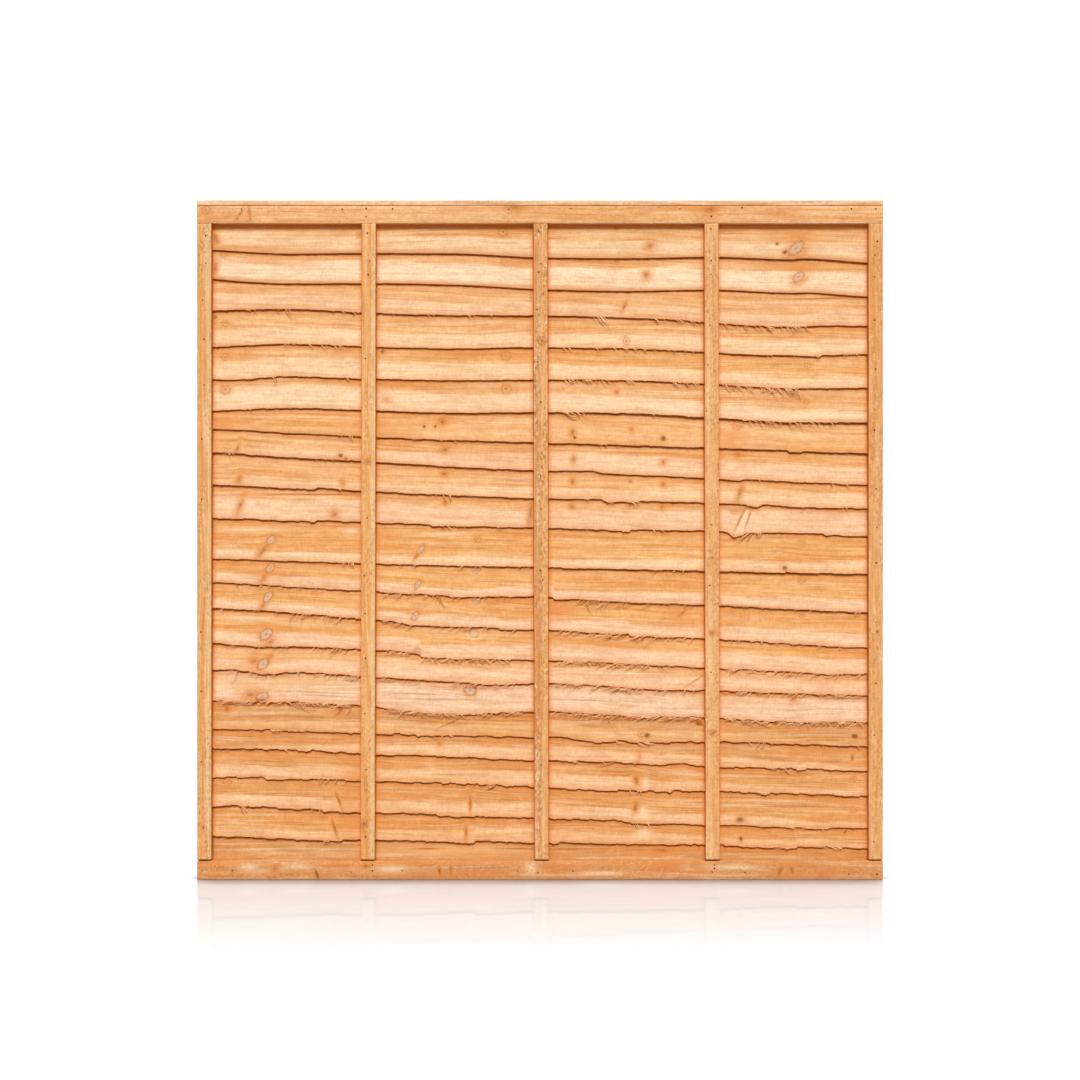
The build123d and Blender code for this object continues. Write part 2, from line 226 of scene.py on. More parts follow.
# Marks in the wood. Core colour, core strength, softness of its rim, dark ring, halo
# colour, halo strength, pith strength, and how far the grain bends round it
MARKS = {
    "ring": (AMBER, 0.50, 0.8, 0.42, DEEP, 0.35, 0.50, 0.8),
    "grey": (GREY, 0.90, 0.3, 0.65, DEEP, 0.50, 0.35, 0.9),
    "peach": (GREY, 0.60, 0.5, 0.50, PALE, 0.35, 0.0, 0.9),
    "soft": (ORANGE, 0.65, 2.0, 0.0, ORANGE, 0.20, 0.0, 0.0),
    "light": (TAN, 0.70, 2.0, 0.0, TAN, 0.20, 0.0, 0.0),
    "vein": (BROWN, 0.50, 1.4, 0.0, BROWN, 0.15, 0.0, 0.0),
    "dark": (DARK, 0.80, 0.9, 0.0, DEEP, 0.45, 0.0, 0.8),
    "brown": (BROWN, 0.50, 1.1, 0.0, DEEP, 0.55, 0.45, 0.7),
    "burnt": (BROWN, 0.85, 1.3, 0.0, DEEP, 0.60, 0.35, 0.8),
    "knot": (BROWN, 0.50, 0.7, 0.4, DEEP, 0.35, 0.6, 0.9),
    "deep": (DEEP, 0.60, 1.6, 0.0, DEEP, 0.20, 0.0, 0.0),
    "red": (RED, 0.60, 1.6, 0.0, RED, 0.15, 0.0, 0.0),
    "pale": (CREAM, 0.75, 1.2, 0.0, PALE, 0.15, 0.0, 0.2),
    "crack": (BROWN, 0.85, 1.2, 0.0, EDGE_BROWN, 0.35, 0.0, 0.0),
}
FRONT_ONLY = ("pale", "crack")

# Where the marks are, by the slat's number or the timber's name: kind, place along and
# above the ground, half length along the panel, half width up it, and turn in degrees if any
SLAT_MARKS = {
    1: [("ring", -483, 1721, 8, 8), ("pale", -760, 1726, 107, 5, 1),
        ("deep", -89, 1737, 69, 13), ("ring", -99, 1729, 11, 11),
        ("dark", 205, 1742, 7, 5), ("brown", 293, 1691, 13, 11, 30),
        ("deep", 690, 1722, 52, 15), ("deep", 706, 1677, 26, 10, 40),
        ("grey", 685, 1685, 24, 12, 40), ("dark", 634, 1697, 5, 4),
        ("dark", 655, 1675, 7, 5, 30), ("burnt", -868, 1712, 9, 16, 25),
        ("pale", -800, 1707, 52, 5, -4), ("deep", -770, 1688, 110, 6, -2)],
    2: [("ring", -846, 1670, 9, 8), ("ring", -99, 1649, 8, 7),
        ("deep", -54, 1649, 35, 11), ("brown", 205, 1651, 7, 5),
        ("brown", 285, 1614, 11, 13, -30), ("deep", 694, 1637, 62, 11),
        ("deep", 704, 1600, 20, 9, 40), ("grey", 692, 1609, 18, 10, 45),
        ("burnt", -870, 1634, 8, 17, -10), ("pale", -800, 1634, 46, 5, -3),
        ("deep", -742, 1648, 101, 6, -4)],
    3: [("brown", 226, 1531, 5, 16, -25), ("crack", 781, 1553, 96, 2, 2)],
    4: [("ring", -843, 1486, 9, 8), ("dark", -870, 1502, 5, 5),
        ("ring", 231, 1438, 8, 11)],
    5: [("ring", -843, 1395, 9, 8), ("dark", -864, 1419, 5, 5),
        ("dark", -422, 1411, 5, 7), ("ring", -91, 1398, 12, 11),
        ("ring", 717, 1371, 8, 8), ("pale", -640, 1409, 48, 5)],
    6: [("ring", -843, 1307, 12, 11), ("ring", -91, 1310, 13, 13),
        ("red", -411, 1281, 16, 13), ("brown", 205, 1302, 8, 8),
        ("ring", 714, 1275, 7, 7)],
    7: [("deep", -851, 1214, 21, 13), ("deep", -448, 1209, 75, 24),
        ("brown", -262, 1222, 12, 13), ("dark", -310, 1209, 4, 5),
        ("dark", -280, 1209, 4, 5), ("brown", 87, 1193, 9, 13),
        ("dark", 93, 1179, 5, 5), ("brown", 245, 1201, 7, 7),
        ("dark", 330, 1177, 8, 8), ("ring", 527, 1211, 11, 11),
        ("deep", 511, 1174, 27, 19, 20)],
    8: [("brown", -811, 1147, 5, 19, -20), ("dark", -534, 1131, 8, 7),
        ("dark", -520, 1123, 5, 4), ("brown", -254, 1147, 13, 11, 20),
        ("brown", 90, 1121, 7, 11), ("brown", 330, 1113, 8, 8),
        ("brown", 530, 1134, 8, 8), ("pale", 511, 1105, 16, 11)],
    9: [("brown", -806, 1067, 8, 13, -20), ("brown", -528, 1057, 8, 8),
        ("brown", -256, 1083, 11, 8), ("brown", 87, 1062, 8, 11),
        ("brown", 242, 1062, 5, 5), ("brown", 330, 1054, 8, 8),
        ("brown", 535, 1030, 8, 24, -20)],
    10: [("brown", -803, 998, 8, 24, -20), ("crack", -614, 1027, 133, 2),
         ("brown", -550, 974, 11, 11), ("brown", -254, 1006, 8, 8),
         ("brown", -25, 977, 8, 37, -8), ("brown", 85, 995, 8, 8),
         ("brown", 242, 998, 5, 5), ("brown", 327, 993, 8, 8),
         ("pale", 545, 958, 9, 34, -22), ("crack", 536, 962, 2.5, 30, -25),
         ("crack", 558, 963, 2, 22, -19)],
    11: [("brown", -742, 876, 8, 29, -40), ("grey", -720, 905, 13, 9, 45),
         ("ring", -166, 908, 8, 8), ("grey", -320, 878, 15, 6, 50),
         ("brown", -332, 860, 4, 12, -35), ("pale", 327, 838, 10, 12),
         ("ring", 701, 900, 9, 8),
         ("dark", 655, 830, 7, 7), ("pale", -775, 933, 95, 5),
         ("pale", -505, 928, 22, 6), ("pale", -250, 922, 60, 5, 2),
         ("pale", 600, 922, 70, 5, -1)],
    12: [("brown", -739, 804, 7, 16, -35), ("grey", -723, 830, 14, 9, 50),
         ("peach", -171, 825, 12, 9), ("grey", -328, 785, 13, 6, 60),
         ("ring", 701, 798, 9, 9)],
    13: [("brown", -742, 729, 7, 13, -35), ("grey", -728, 753, 16, 9, 50),
         ("peach", -171, 742, 11, 9), ("grey", -334, 702, 13, 7, 55),
         ("grey", 333, 753, 9, 8), ("red", 45, 721, 40, 19),
         ("brown", 383, 710, 21, 4, 40), ("ring", 701, 705, 8, 8)],
    14: [("brown", -722, 632, 12, 8, 30), ("grey", -734, 652, 19, 12, 40),
         ("peach", -176, 654, 12, 10), ("grey", -328, 609, 8, 6),
         ("deep", 173, 625, 120, 8, -5), ("pale", -775, 697, 96, 5, -3),
         ("pale", -270, 662, 50, 5, -4)],
    15: [("brown", -766, 580, 15, 11), ("brown", -724, 590, 5, 12, -35),
         ("grey", -742, 572, 17, 11, 50), ("brown", 418, 530, 26, 2, 33)],
    16: [("soft", -800, 520, 60, 12, -6), ("soft", -660, 528, 90, 7, -3),
         ("brown", -774, 490, 24, 12), ("grey", -744, 486, 16, 10, 20),
         ("dark", -748, 477, 14, 3), ("grey", -187, 502, 15, 14),
         ("vein", -600, 497, 90, 1.5, -2), ("vein", -560, 487, 60, 1.5, -3),
         ("vein", -330, 493, 80, 1.5, -1), ("vein", -260, 478, 110, 2, -1),
         ("vein", 130, 476, 90, 1.5, -2), ("brown", 679, 481, 11, 11)],
    17: [("vein", -240, 425, 150, 2, -2), ("vein", -180, 413, 110, 1.5, -1),
         ("vein", -330, 432, 60, 1.5), ("vein", -620, 432, 100, 1.5, -2),
         ("brown", -838, 452, 11, 8), ("brown", -536, 452, 11, 16),
         ("ring", 271, 385, 9, 9), ("dark", 287, 382, 7, 7),
         ("dark", 426, 414, 13, 7, -20), ("dark", 631, 412, 7, 5),
         ("dark", 842, 380, 11, 7)],
    18: [("red", 266, 329, 7, 32), ("burnt", 258, 305, 7, 6),
         ("brown", -270, 361, 8, 8), ("burnt", 836, 322, 5, 11)],
    19: [("deep", -502, 278, 37, 27), ("pale", 283, 250, 9, 18),
         ("burnt", 258, 262, 8, 15, 15), ("ring", 839, 265, 8, 8)],
    20: [("ring", -838, 257, 11, 9), ("deep", -508, 205, 26, 30),
         ("burnt", -539, 209, 4, 23, 20), ("burnt", -187, 198, 4, 20),
         ("pale", 279, 178, 14, 14), ("burnt", 256, 190, 7, 13, -10),
         ("dark", 535, 156, 11, 7), ("ring", 839, 182, 8, 8)],
    21: [("deep", -510, 130, 30, 30), ("burnt", -550, 134, 4, 27, 18),
         ("burnt", -198, 121, 4, 15), ("pale", 279, 124, 21, 13),
         ("dark", 538, 105, 5, 8), ("dark", 818, 124, 3, 7, -35)],
    22: [("light", -230, 76, 170, 14), ("crack", -302, 78, 27, 2),
         ("crack", -59, 78, 43, 2), ("crack", 74, 78, 53, 2),
         ("brown", 327, 73, 24, 8)],
}
TIMBER_MARKS = {
    "top_rail_front": [
        ("ring", -891, 1785, 11, 11), ("brown", -801, 1773, 4, 19, -35),
        ("brown", -775, 1777, 4, 21, 8), ("brown", -67, 1793, 24, 13),
        ("brown", 455, 1787, 21, 16), ("red", 639, 1777, 59, 19)],
    "bottom_rail_front": [
        ("pale", -777, 32, 26, 12), ("pale", -640, 34, 44, 8), ("pale", -395, 28, 40, 9, 2),
        ("pale", -24, 30, 16, 17), ("pale", 170, 16, 60, 6), ("pale", 520, 32, 70, 7, -1),
        ("red", -560, 36, 60, 9), ("red", -190, 12, 60, 9), ("red", 60, 34, 40, 10),
        ("red", 330, 30, 50, 10), ("red", 760, 18, 60, 10), ("ring", -867, 36, 11, 11),
        ("brown", -707, 28, 9, 12, -20), ("dark", -595, 14, 5, 13, 25),
        ("brown", -464, 36, 11, 8), ("burnt", -268, 22, 5, 16, 10),
        ("burnt", -238, 24, 4, 20), ("burnt", 640, 22, 7, 16, -20),
        ("burnt", 672, 24, 6, 14, 15), ("ring", 898, 14, 11, 11)],
    "batten_front_2": [("knot", -459, 1113, 8, 9), ("knot", -470, 148, 11, 11)],
    "batten_front_3": [("knot", 5, 1435, 12, 12)],
    "batten_front_4": [("knot", 461, 390, 8, 8), ("knot", 458, 657, 8, 8)],
}

# Frame timbers: tone, tone of the strip past a line along the timber, where that line
# lies from its middle in millimetres, and how strongly dark flecks show
TIMBER_TONES = {
    "top_rail_front": (TAN, ORANGE, 30, 0.30),
    "bottom_rail_front": (RUST, RUST, 30, 0.40),
    "top_rail_back": (ORANGE, TAN, 0, 0.35),
    "bottom_rail_back": (RUST, AMBER, 0, 0.35),
    "cap_strip": (PINK, TAN, 30, 0.45),
    "batten_front_1": (HONEY, STRAW, 5, 0.60),
    "batten_front_2": (ORANGE, STRAW, 6, 0.45),
    "batten_front_3": (FAWN, ORANGE, 2, 0.95),
    "batten_front_4": (TAN, HONEY, 2, 0.60),
    "batten_front_5": (HONEY, AMBER, 2, 0.50),
    "batten_back_1": (ORANGE, STRAW, 3, 0.45),
    "batten_back_2": (STRAW, ORANGE, -5, 0.45),
    "batten_back_3": (TAN, AMBER, 9, 0.45),
    "batten_back_4": (STRAW, TAN, 0, 0.45),
    "batten_back_5": (AMBER, STRAW, -8, 0.45),
}

# Torn fibres under the slats' lower edges: from, to, how many, length in millimetres and
# slant in degrees from plumb, towards the right as they go down
FRAYS = {
    3: [(-800, -700, 4, 9, 60), (-684, -664, 3, 26, 34), (-560, -480, 6, 11, 55),
        (-400, 40, 6, 10, 62), (138, 200, 7, 30, 42), (300, 440, 10, 15, 60),
        (480, 716, 26, 25, 54)],
    4: [(-700, -660, 3, 12, 60), (-620, -524, 6, 18, 48), (60, 430, 18, 14, 60),
        (560, 850, 8, 8, 65)],
    5: [(-722, -704, 3, 24, 32), (-560, -500, 3, 9, 60), (50, 250, 18, 18, 58),
        (340, 430, 12, 20, 60), (480, 694, 26, 28, 50), (600, 690, 4, 26, -50)],
    6: [(-860, -500, 5, 7, 70), (60, 120, 9, 15, 70), (300, 440, 4, 8, 70),
        (540, 700, 14, 18, 55), (720, 790, 7, 15, 60)],
    7: [(-540, -500, 4, 14, 20), (-400, -60, 4, 9, 66), (100, 440, 4, 8, 66)],
    8: [(-850, -820, 3, 9, 40), (-600, -520, 3, 8, 66), (480, 860, 6, 8, 40)],
    9: [(-560, -500, 3, 8, 60), (-290, -240, 5, 14, 40), (100, 290, 10, 14, 68),
        (480, 870, 5, 8, 60)],
    10: [(-400, 20, 7, 14, 78), (100, 420, 5, 10, 70), (500, 600, 10, 16, -30)],
    11: [(-545, -500, 12, 12, 10), (-440, 40, 14, 12, -60), (300, 400, 6, 12, -50)],
    12: [(-880, -560, 14, 10, -60), (-420, -330, 12, 22, -48),
         (-330, -60, 16, 18, -55), (90, 300, 26, 26, -62), (300, 440, 8, 12, -60),
         (480, 870, 14, 9, -50)],
    13: [(-880, -700, 8, 12, -70), (-660, -480, 20, 24, -52),
         (-440, -60, 26, 20, -66), (40, 290, 26, 32, -70), (300, 440, 12, 24, -64),
         (480, 830, 18, 11, -62)],
    14: [(-860, -660, 8, 12, -66), (-620, -480, 14, 26, -56),
         (-420, -60, 40, 26, -72), (-300, -60, 14, 20, 50), (40, 300, 40, 36, -76),
         (100, 430, 12, 20, 56), (500, 720, 22, 28, -74), (730, 860, 14, 20, -66)],
    15: [(-880, -640, 10, 14, -60), (-600, -480, 16, 22, -56),
         (-440, -60, 32, 22, -66), (20, 260, 30, 36, -78), (200, 430, 16, 18, -50),
         (500, 640, 12, 20, -70), (650, 870, 22, 26, -74)],
    16: [(-880, -500, 60, 26, -80), (-700, -500, 14, 18, 50),
         (-430, -40, 60, 28, -76), (-400, -60, 18, 16, 50), (20, 440, 70, 30, -76),
         (60, 430, 26, 20, -50), (480, 880, 60, 24, -72), (500, 860, 20, 16, 50)],
    17: [(-760, -600, 5, 18, 82), (-430, -60, 4, 16, 80), (180, 300, 4, 20, 80),
         (500, 860, 4, 14, 76), (586, 610, 5, 18, -30)],
    18: [(-880, -500, 4, 14, 82), (20, 430, 4, 16, 80), (620, 680, 4, 16, -60)],
    19: [(-600, -500, 9, 16, -45), (-240, -120, 4, 18, -76), (240, 280, 4, 12, 0)],
    20: [(-800, -790, 3, 28, 20), (-620, -520, 4, 12, -60), (250, 300, 4, 14, 20),
         (600, 800, 3, 10, 76)],
    21: [(-600, -560, 4, 14, -70), (480, 700, 4, 16, 80), (740, 874, 4, 20, 82)],
}

# Long splinters: the slat that they hang from, where they start, their run down in steps
# of (along, down), and their thickness, all in millimetres, and their tone from pale, 0, to
# brown, 1
SPLINTERS = [
    (4, 399, [(14, 6), (26, 14), (37, 24)], 2.2, 1.0),
    (4, 512, [(-12, 14), (-24, 18), (-33, 22)], 1.9, 0.9),
    (5, 619, [(6, 10), (12, 22), (18, 34)], 2.2, 0.5),
    (5, 662, [(10, 8), (20, 18), (30, 28)], 2.0, 1.0),
    (5, 690, [(-14, 12), (-26, 20), (-40, 24)], 1.9, 1.0),
    (5, 687, [(4, 10), (8, 22), (10, 34)], 1.9, 1.0),
    (6, 66, [(12, 8), (26, 12), (38, 6)], 2.4, 0.6),
    (6, 76, [(10, 12), (22, 14), (30, 12)], 2.0, 1.0),
    (6, 619, [(10, 8), (22, 10), (30, 5)], 1.9, 0.9),
    (6, 664, [(8, 7), (18, 8), (26, 4)], 1.9, 0.9),
    (9, 708, [(-5, 5), (-11, 9), (-18, 11)], 2.4, 0.8),
    (10, 560, [(-10, 6), (-20, 14), (-30, 26)], 4.5, 0.5),
    (10, 568, [(-6, 8), (-12, 16), (-16, 22)], 3.5, 0.9),
    (11, 312, [(-8, 6), (-14, 10), (-18, 16)], 2.0, 0.9),
    (12, 116, [(10, 14), (16, 30), (26, 42)], 1.9, 1.0),
    (12, -281, [(10, 10), (20, 22), (28, 34)], 2.2, 1.0),
    (12, -270, [(4, 8), (2, 18), (-4, 26)], 1.8, 0.9),
    (13, -654, [(-8, 4), (-15, 14), (-18, 30)], 2.1, 1.0),
    (13, -66, [(-8, 4), (-14, 8), (-20, 12)], 1.8, 0.9),
    (13, 108, [(-12, 4), (-22, 8), (-32, 14)], 1.9, 1.0),
    (13, 231, [(-10, 4), (-20, 10), (-30, 18)], 1.9, 1.0),
    (13, 316, [(-14, 6), (-30, 16), (-40, 34)], 1.9, 0.9),
    (14, -540, [(-8, 6), (-18, 16), (-26, 30)], 2.0, 1.0),
    (15, 226, [(6, 6), (12, 12), (20, 22)], 1.8, 0.9),
    (15, -809, [(-2, 10), (-8, 24), (-24, 40)], 2.2, 1.0),
    (16, -681, [(22, 6), (44, 16), (66, 30)], 2.5, 1.0),
    (16, -526, [(-8, 10), (-18, 22), (-28, 32)], 2.3, 1.0),
    (16, -502, [(-6, 12), (-14, 24), (-22, 34)], 2.0, 0.9),
    (16, -204, [(-30, 14), (-56, 26), (-78, 36)], 2.6, 0.8),
    (16, 175, [(-4, 8), (-8, 16), (-12, 24)], 2.0, 1.0),
    (16, 176, [(5, 8), (9, 16), (12, 22)], 2.0, 0.9),
    (16, 218, [(-8, 6), (-14, 10), (-20, 16)], 2.0, 0.9),
    (16, 540, [(12, 6), (24, 12), (34, 16)], 2.2, 0.9),
    (16, 573, [(20, 8), (38, 14), (56, 14)], 2.2, 0.8),
    (18, 200, [(-18, 3), (-36, 7), (-52, 11)], 2.8, 0.9),
    (18, 653, [(10, 8), (18, 12), (28, 14)], 2.4, 0.8),
    (19, -120, [(-8, 4), (-20, 8), (-30, 14)], 3.0, 0.5),
    (20, -798, [(-2, 6), (0, 12), (6, 20)], 1.9, 1.0),
]

# Light and camera
CAMERA_DISTANCE = 4.526
CAMERA_LENS = 56.27
SUN_STRENGTH = 3.16
SUN_HEIGHT = 43.0
SUN_SOFTNESS = 22.0
REAR_SUN_STRENGTH = 1.8
REAR_SUN_HEIGHT = 46.0
REAR_SUN_SOFTNESS = 110.0
SKY_STRENGTH = 0.25
FLOOR_SIZE = 30.0
FLOOR_ALBEDO = 0.3
FLOOR_GLOW = 0.70
MIRROR_SHARE = 0.35
MIRROR_REACH = 1.15
# Reach of the floor's painted contact shadow round the panel's foot
CONTACT_REACH = 0.14


def linear(colour):
    """An sRGB colour of 0 to 255 as linear RGBA."""
    shares = [value / 255 for value in colour]
    curve = [s / 12.92 if s <= 0.04045 else ((s + 0.055) / 1.055) ** 2.4 for s in shares]
    return (*curve, 1.0)


# Meshes

def eased(share):
    """A share from 0 to 1 that starts and stops gently."""
    return share * share * (3 - 2 * share)


def wander(places, kind, number):
    """Smooth random heights from -1 to 1 along a line, one knot to each cell."""
    cell, seed = kind
    count = int(LINE_LENGTH / cell) + 3
    knots = np.random.default_rng(seed + number).uniform(-1, 1, count)
    where = (places - LINE_START) / cell
    index = np.clip(where.astype(int), 0, count - 2)
    share = eased(where - index)
    return knots[index] * (1 - share) + knots[index + 1] * share


def breaks(places, kind, number):
    """Random heights from -1 to 1 along a line that hold for a run and then step."""
    cell, seed = kind
    rng = np.random.default_rng(seed + number)
    count = int(LINE_LENGTH / cell)
    starts = np.cumsum(rng.uniform(0.4, 1.6, count)) * cell + LINE_START - 1.6 * cell
    levels = rng.uniform(-0.8, 0.8, count)
    tilts = rng.uniform(-0.25, 0.25, count)
    run = np.searchsorted(starts, places) - 1
    return levels[run] + tilts[run] * ((places - starts[run]) / cell - 0.5)


def sunk(along, across, kind, number):
    """How far a sawn face lies under its plane, over a surface, in millimetres."""
    size, cell_along, cell_across, seed = kind
    cells = []
    for places, cell in ((along, cell_along), (across, cell_across)):
        index = np.floor(places / cell)
        cells.append(((index - index.min()).astype(int), eased(places / cell - index)))
    (column, share_a), (row, share_c) = cells
    count = (column.max() + 2, row.max() + 2)
    knots = np.random.default_rng(seed + number).uniform(-1, 1, count)
    near = knots[column, row] * (1 - share_c) + knots[column, row + 1] * share_c
    far = knots[column + 1, row] * (1 - share_c) + knots[column + 1, row + 1] * share_c
    return size + size * (near * (1 - share_a) + far * share_a)


def tube_faces(stations, around):
    """Quads of a tube of rings, and a cap at each end."""
    ring = np.arange(around)
    after = (ring + 1) % around
    base = (np.arange(stations - 1) * around)[:, None]
    quads = np.stack([base + ring, base + after, base + around + after,
                      base + around + ring], axis=-1).reshape(-1, 4)
    first = list(range(around))[::-1]
    last = list(range((stations - 1) * around, stations * around))
    return quads.tolist() + [first, last]


def linked(name, data):
    """A new object of the scene with these data."""
    made = bpy.data.objects.new(name, data)
    bpy.context.scene.collection.objects.link(made)
    return made


def add_piece(name, points, faces, material, slot, smooth=True, **values):
    """A mesh object that rides with the panel, with named numbers at its points."""
    mesh = bpy.data.meshes.new(name)
    mesh.from_pydata(points.reshape(-1, 3).tolist(), [], faces)
    for label, numbers in values.items():
        layer = mesh.attributes.new(label, "FLOAT", "POINT")
        layer.data.foreach_set("value", numbers.astype(np.float32).ravel())
    mesh.polygons.foreach_set("use_smooth", [smooth] * len(mesh.polygons))
    mesh.materials.append(material)
    mesh.update()
    piece = linked(name, mesh)
    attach(piece, "root")
    return piece


def cad_triangles(node):
    """Triangles of a CAD node, and their normals as long as twice their areas."""
    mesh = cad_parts[node].data
    mesh.calc_loop_triangles()
    points = np.empty(len(mesh.vertices) * 3)
    mesh.vertices.foreach_get("co", points)
    corners = np.empty(len(mesh.loop_triangles) * 3, int)
    mesh.loop_triangles.foreach_get("vertices", corners)
    triangles = points.reshape(-1, 3)[corners.reshape(-1, 3)]
    sides = triangles[:, 1:] - triangles[:, :1]
    return triangles, np.cross(sides[:, 0], sides[:, 1])


def plane_of(triangles, normals):
    """Middle of a flat face, and its normal."""
    normal = normals.sum(0)
    return triangles.reshape(-1, 3).mean(0), normal / np.linalg.norm(normal)


class SlatShape:
    """What the CAD says of one slat: its two faces and its lower and upper edges."""

    def __init__(self, number):
        triangles, normals = cad_triangles(f"slat_{number:02d}")
        level = normals[:, 1] / np.linalg.norm(normals, axis=1)
        self.front = plane_of(triangles[level < -0.9], normals[level < -0.9])
        self.back = plane_of(triangles[level > 0.9], normals[level > 0.9])
        self.face = triangles[level < -0.9]
        self.ends = self.face[:, :, 0].min(), self.face[:, :, 0].max()

    def y(self, plane, x, z):
        """Depth of a face at a place in the front view."""
        middle, normal = plane
        reach = normal[0] * (x - middle[0]) + normal[2] * (z - middle[2])
        return middle[1] - reach / normal[1]

    def edges(self, xs):
        """Heights of the lower and the upper edge at places along the slat."""
        start = np.concatenate([self.face[:, i] for i in range(3)])
        stop = np.concatenate([self.face[:, (i + 1) % 3] for i in range(3)])
        run = stop[:, 0] - start[:, 0]
        level = np.abs(run) > 1e-7
        start, stop, run = start[level], stop[level], run[level]
        share = (xs[:, None] - start[:, 0]) / run
        height = start[:, 2] + share * (stop[:, 2] - start[:, 2])
        inside = (share >= -1e-6) & (share <= 1 + 1e-6)
        low = np.where(inside, height, np.inf).min(1)
        high = np.where(inside, height, -np.inf).max(1)
        return low, high


SHAPES = {number: SlatShape(number) for number in LOOKS}


def jagged(number, xs):
    """How far the torn fibres of a slat's lower edge stray from its smooth line."""
    patchy = 0.5 + 0.5 * wander(xs, JAG_PATCHES, number)
    fine = (0.25 + 0.4 * patchy) * wander(xs, FINE_JAGS, number)
    stray = 0.4 * wander(xs, COARSE_JAGS, number) + fine + 0.9 * breaks(xs, TEARS, number)
    return LOOKS[number].jags * MM * stray


def line_above(number, xs):
    """Height of the edge that laps over a slat: the next slat's, or the top rail's."""
    if number == 1:
        return np.full(len(xs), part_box("top_rail_front")[0].z)
    return SHAPES[number - 1].edges(xs)[0] + jagged(number - 1, xs)


def line_below(number, xs):
    """Height of the edge that laps over a slat's back: the next slat's upper edge."""
    if number == len(SHAPES):
        return np.full(len(xs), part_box("bottom_rail_back")[1].z)
    return SHAPES[number + 1].edges(xs)[1]


def timber_ends(node, along):
    """Middle of a timber's section at its two ends, and half its width and depth."""
    points = cad_triangles(node)[0].reshape(-1, 3)
    middles = []
    for limit in (points[:, along].min(), points[:, along].max()):
        end = points[np.abs(points[:, along] - limit) < SAME_PLANE]
        middles.append((end.min(0) + end.max(0)) / 2)
        size = end.max(0) - end.min(0)
    return middles, size[2 - along] / 2, size[1] / 2


BATTENS = {side: [timber_ends(f"batten_{side}_{index}", 2) for index in range(1, 6)]
           for side in ("front", "back")}


def beside_battens(side, x, z):
    """Distance along the panel to the nearest batten's edge."""
    gaps = []
    for (foot, head), half_width, _ in BATTENS[side]:
        share = (z - foot[2]) / (head[2] - foot[2])
        gaps.append(np.abs(x - foot[0] - share * (head[0] - foot[0])) - half_width)
    return np.min(gaps, axis=0)


def slat_piece(number, material):
    """One slat as a sawn board with a rounded, fibrous lower edge and rough faces."""
    node = f"slat_{number:02d}"
    shape = SHAPES[number]
    count = int((shape.ends[1] - shape.ends[0]) / SLAT_STEP)
    xs = np.linspace(shape.ends[0] + END_INSET, shape.ends[1] - END_INSET, count)
    low, high = shape.edges(xs)
    height = (high - low)[:, None]
    ones = np.ones((count, 1))
    top = height - SAWN_RIM
    front = np.concatenate([FRONT_ROWS * ones, FRONT_SHARES * height, top], axis=1)
    back = np.concatenate([top, BACK_SHARES * height, BACK_ROWS * ones], axis=1)
    up = np.concatenate([front, height, height, back, UNDER_ROWS * ones], axis=1)
    deep = np.concatenate([np.zeros(front.shape[1]), TOP_DEPTHS, np.ones(back.shape[1]),
                           UNDER_DEPTHS])
    x = np.broadcast_to(xs[:, None], up.shape)
    z = low[:, None] + up + jagged(number, xs)[:, None] * np.exp(-up / JAG_FADE)
    y_front = shape.y(shape.front, x, z) + sunk(x, z, FRONT_FACE, number) * MM
    y_back = shape.y(shape.back, x, z) - sunk(x, z, BACK_FACE, number) * MM
    points = np.stack([x, y_front + (y_back - y_front) * deep, z], axis=-1)
    heights = np.interp(xs, SAPWOOD_PLACES, [h * MM for h in LOOKS[number].heights])
    sapwood = up - (heights + 3.0 * MM * wander(xs, SAPWOOD_WAVES, number))[:, None]
    ahead = (np.arange(up.shape[1]) < front.shape[1]) | (up < ROUNDED)
    # Distances below the edge that laps over the slat (at the back, above the next slat's top
    # edge) and to the nearest batten: they place the painted shade
    under = np.where(ahead, line_above(number, xs)[:, None] - z,
                     z - line_below(number, xs)[:, None])
    beside = np.where(ahead, beside_battens("front", x, z), beside_battens("back", x, z))
    piece = add_piece(f"board_{node}", points, tube_faces(*up.shape), material, "slats",
                      edge=up, sapwood=sapwood, under=under, beside=beside, ahead=ahead)
    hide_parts(node)


def timber_ring(half_width, half_depth, arris):
    """Section of a sawn timber: points around it, with rounded arrises."""
    corners = np.array([(1, -1), (1, 1), (-1, 1), (-1, -1)])
    half = np.array([half_width, half_depth])
    ring = []
    for step, corner in enumerate(corners):
        for angle in (0, 45, 90):
            turn = math.radians(-90 + 90 * step + angle)
            rounding = np.array([math.cos(turn), math.sin(turn)])
            ring.append(corner * (half - arris) + arris * rounding)
        after = corners[(step + 1) % 4]
        reach = np.where(corner == after, half, half - arris)
        for share in (0.25, 0.5, 0.75):
            ring.append((corner + (after - corner) * share) * reach)
    return np.array(ring)


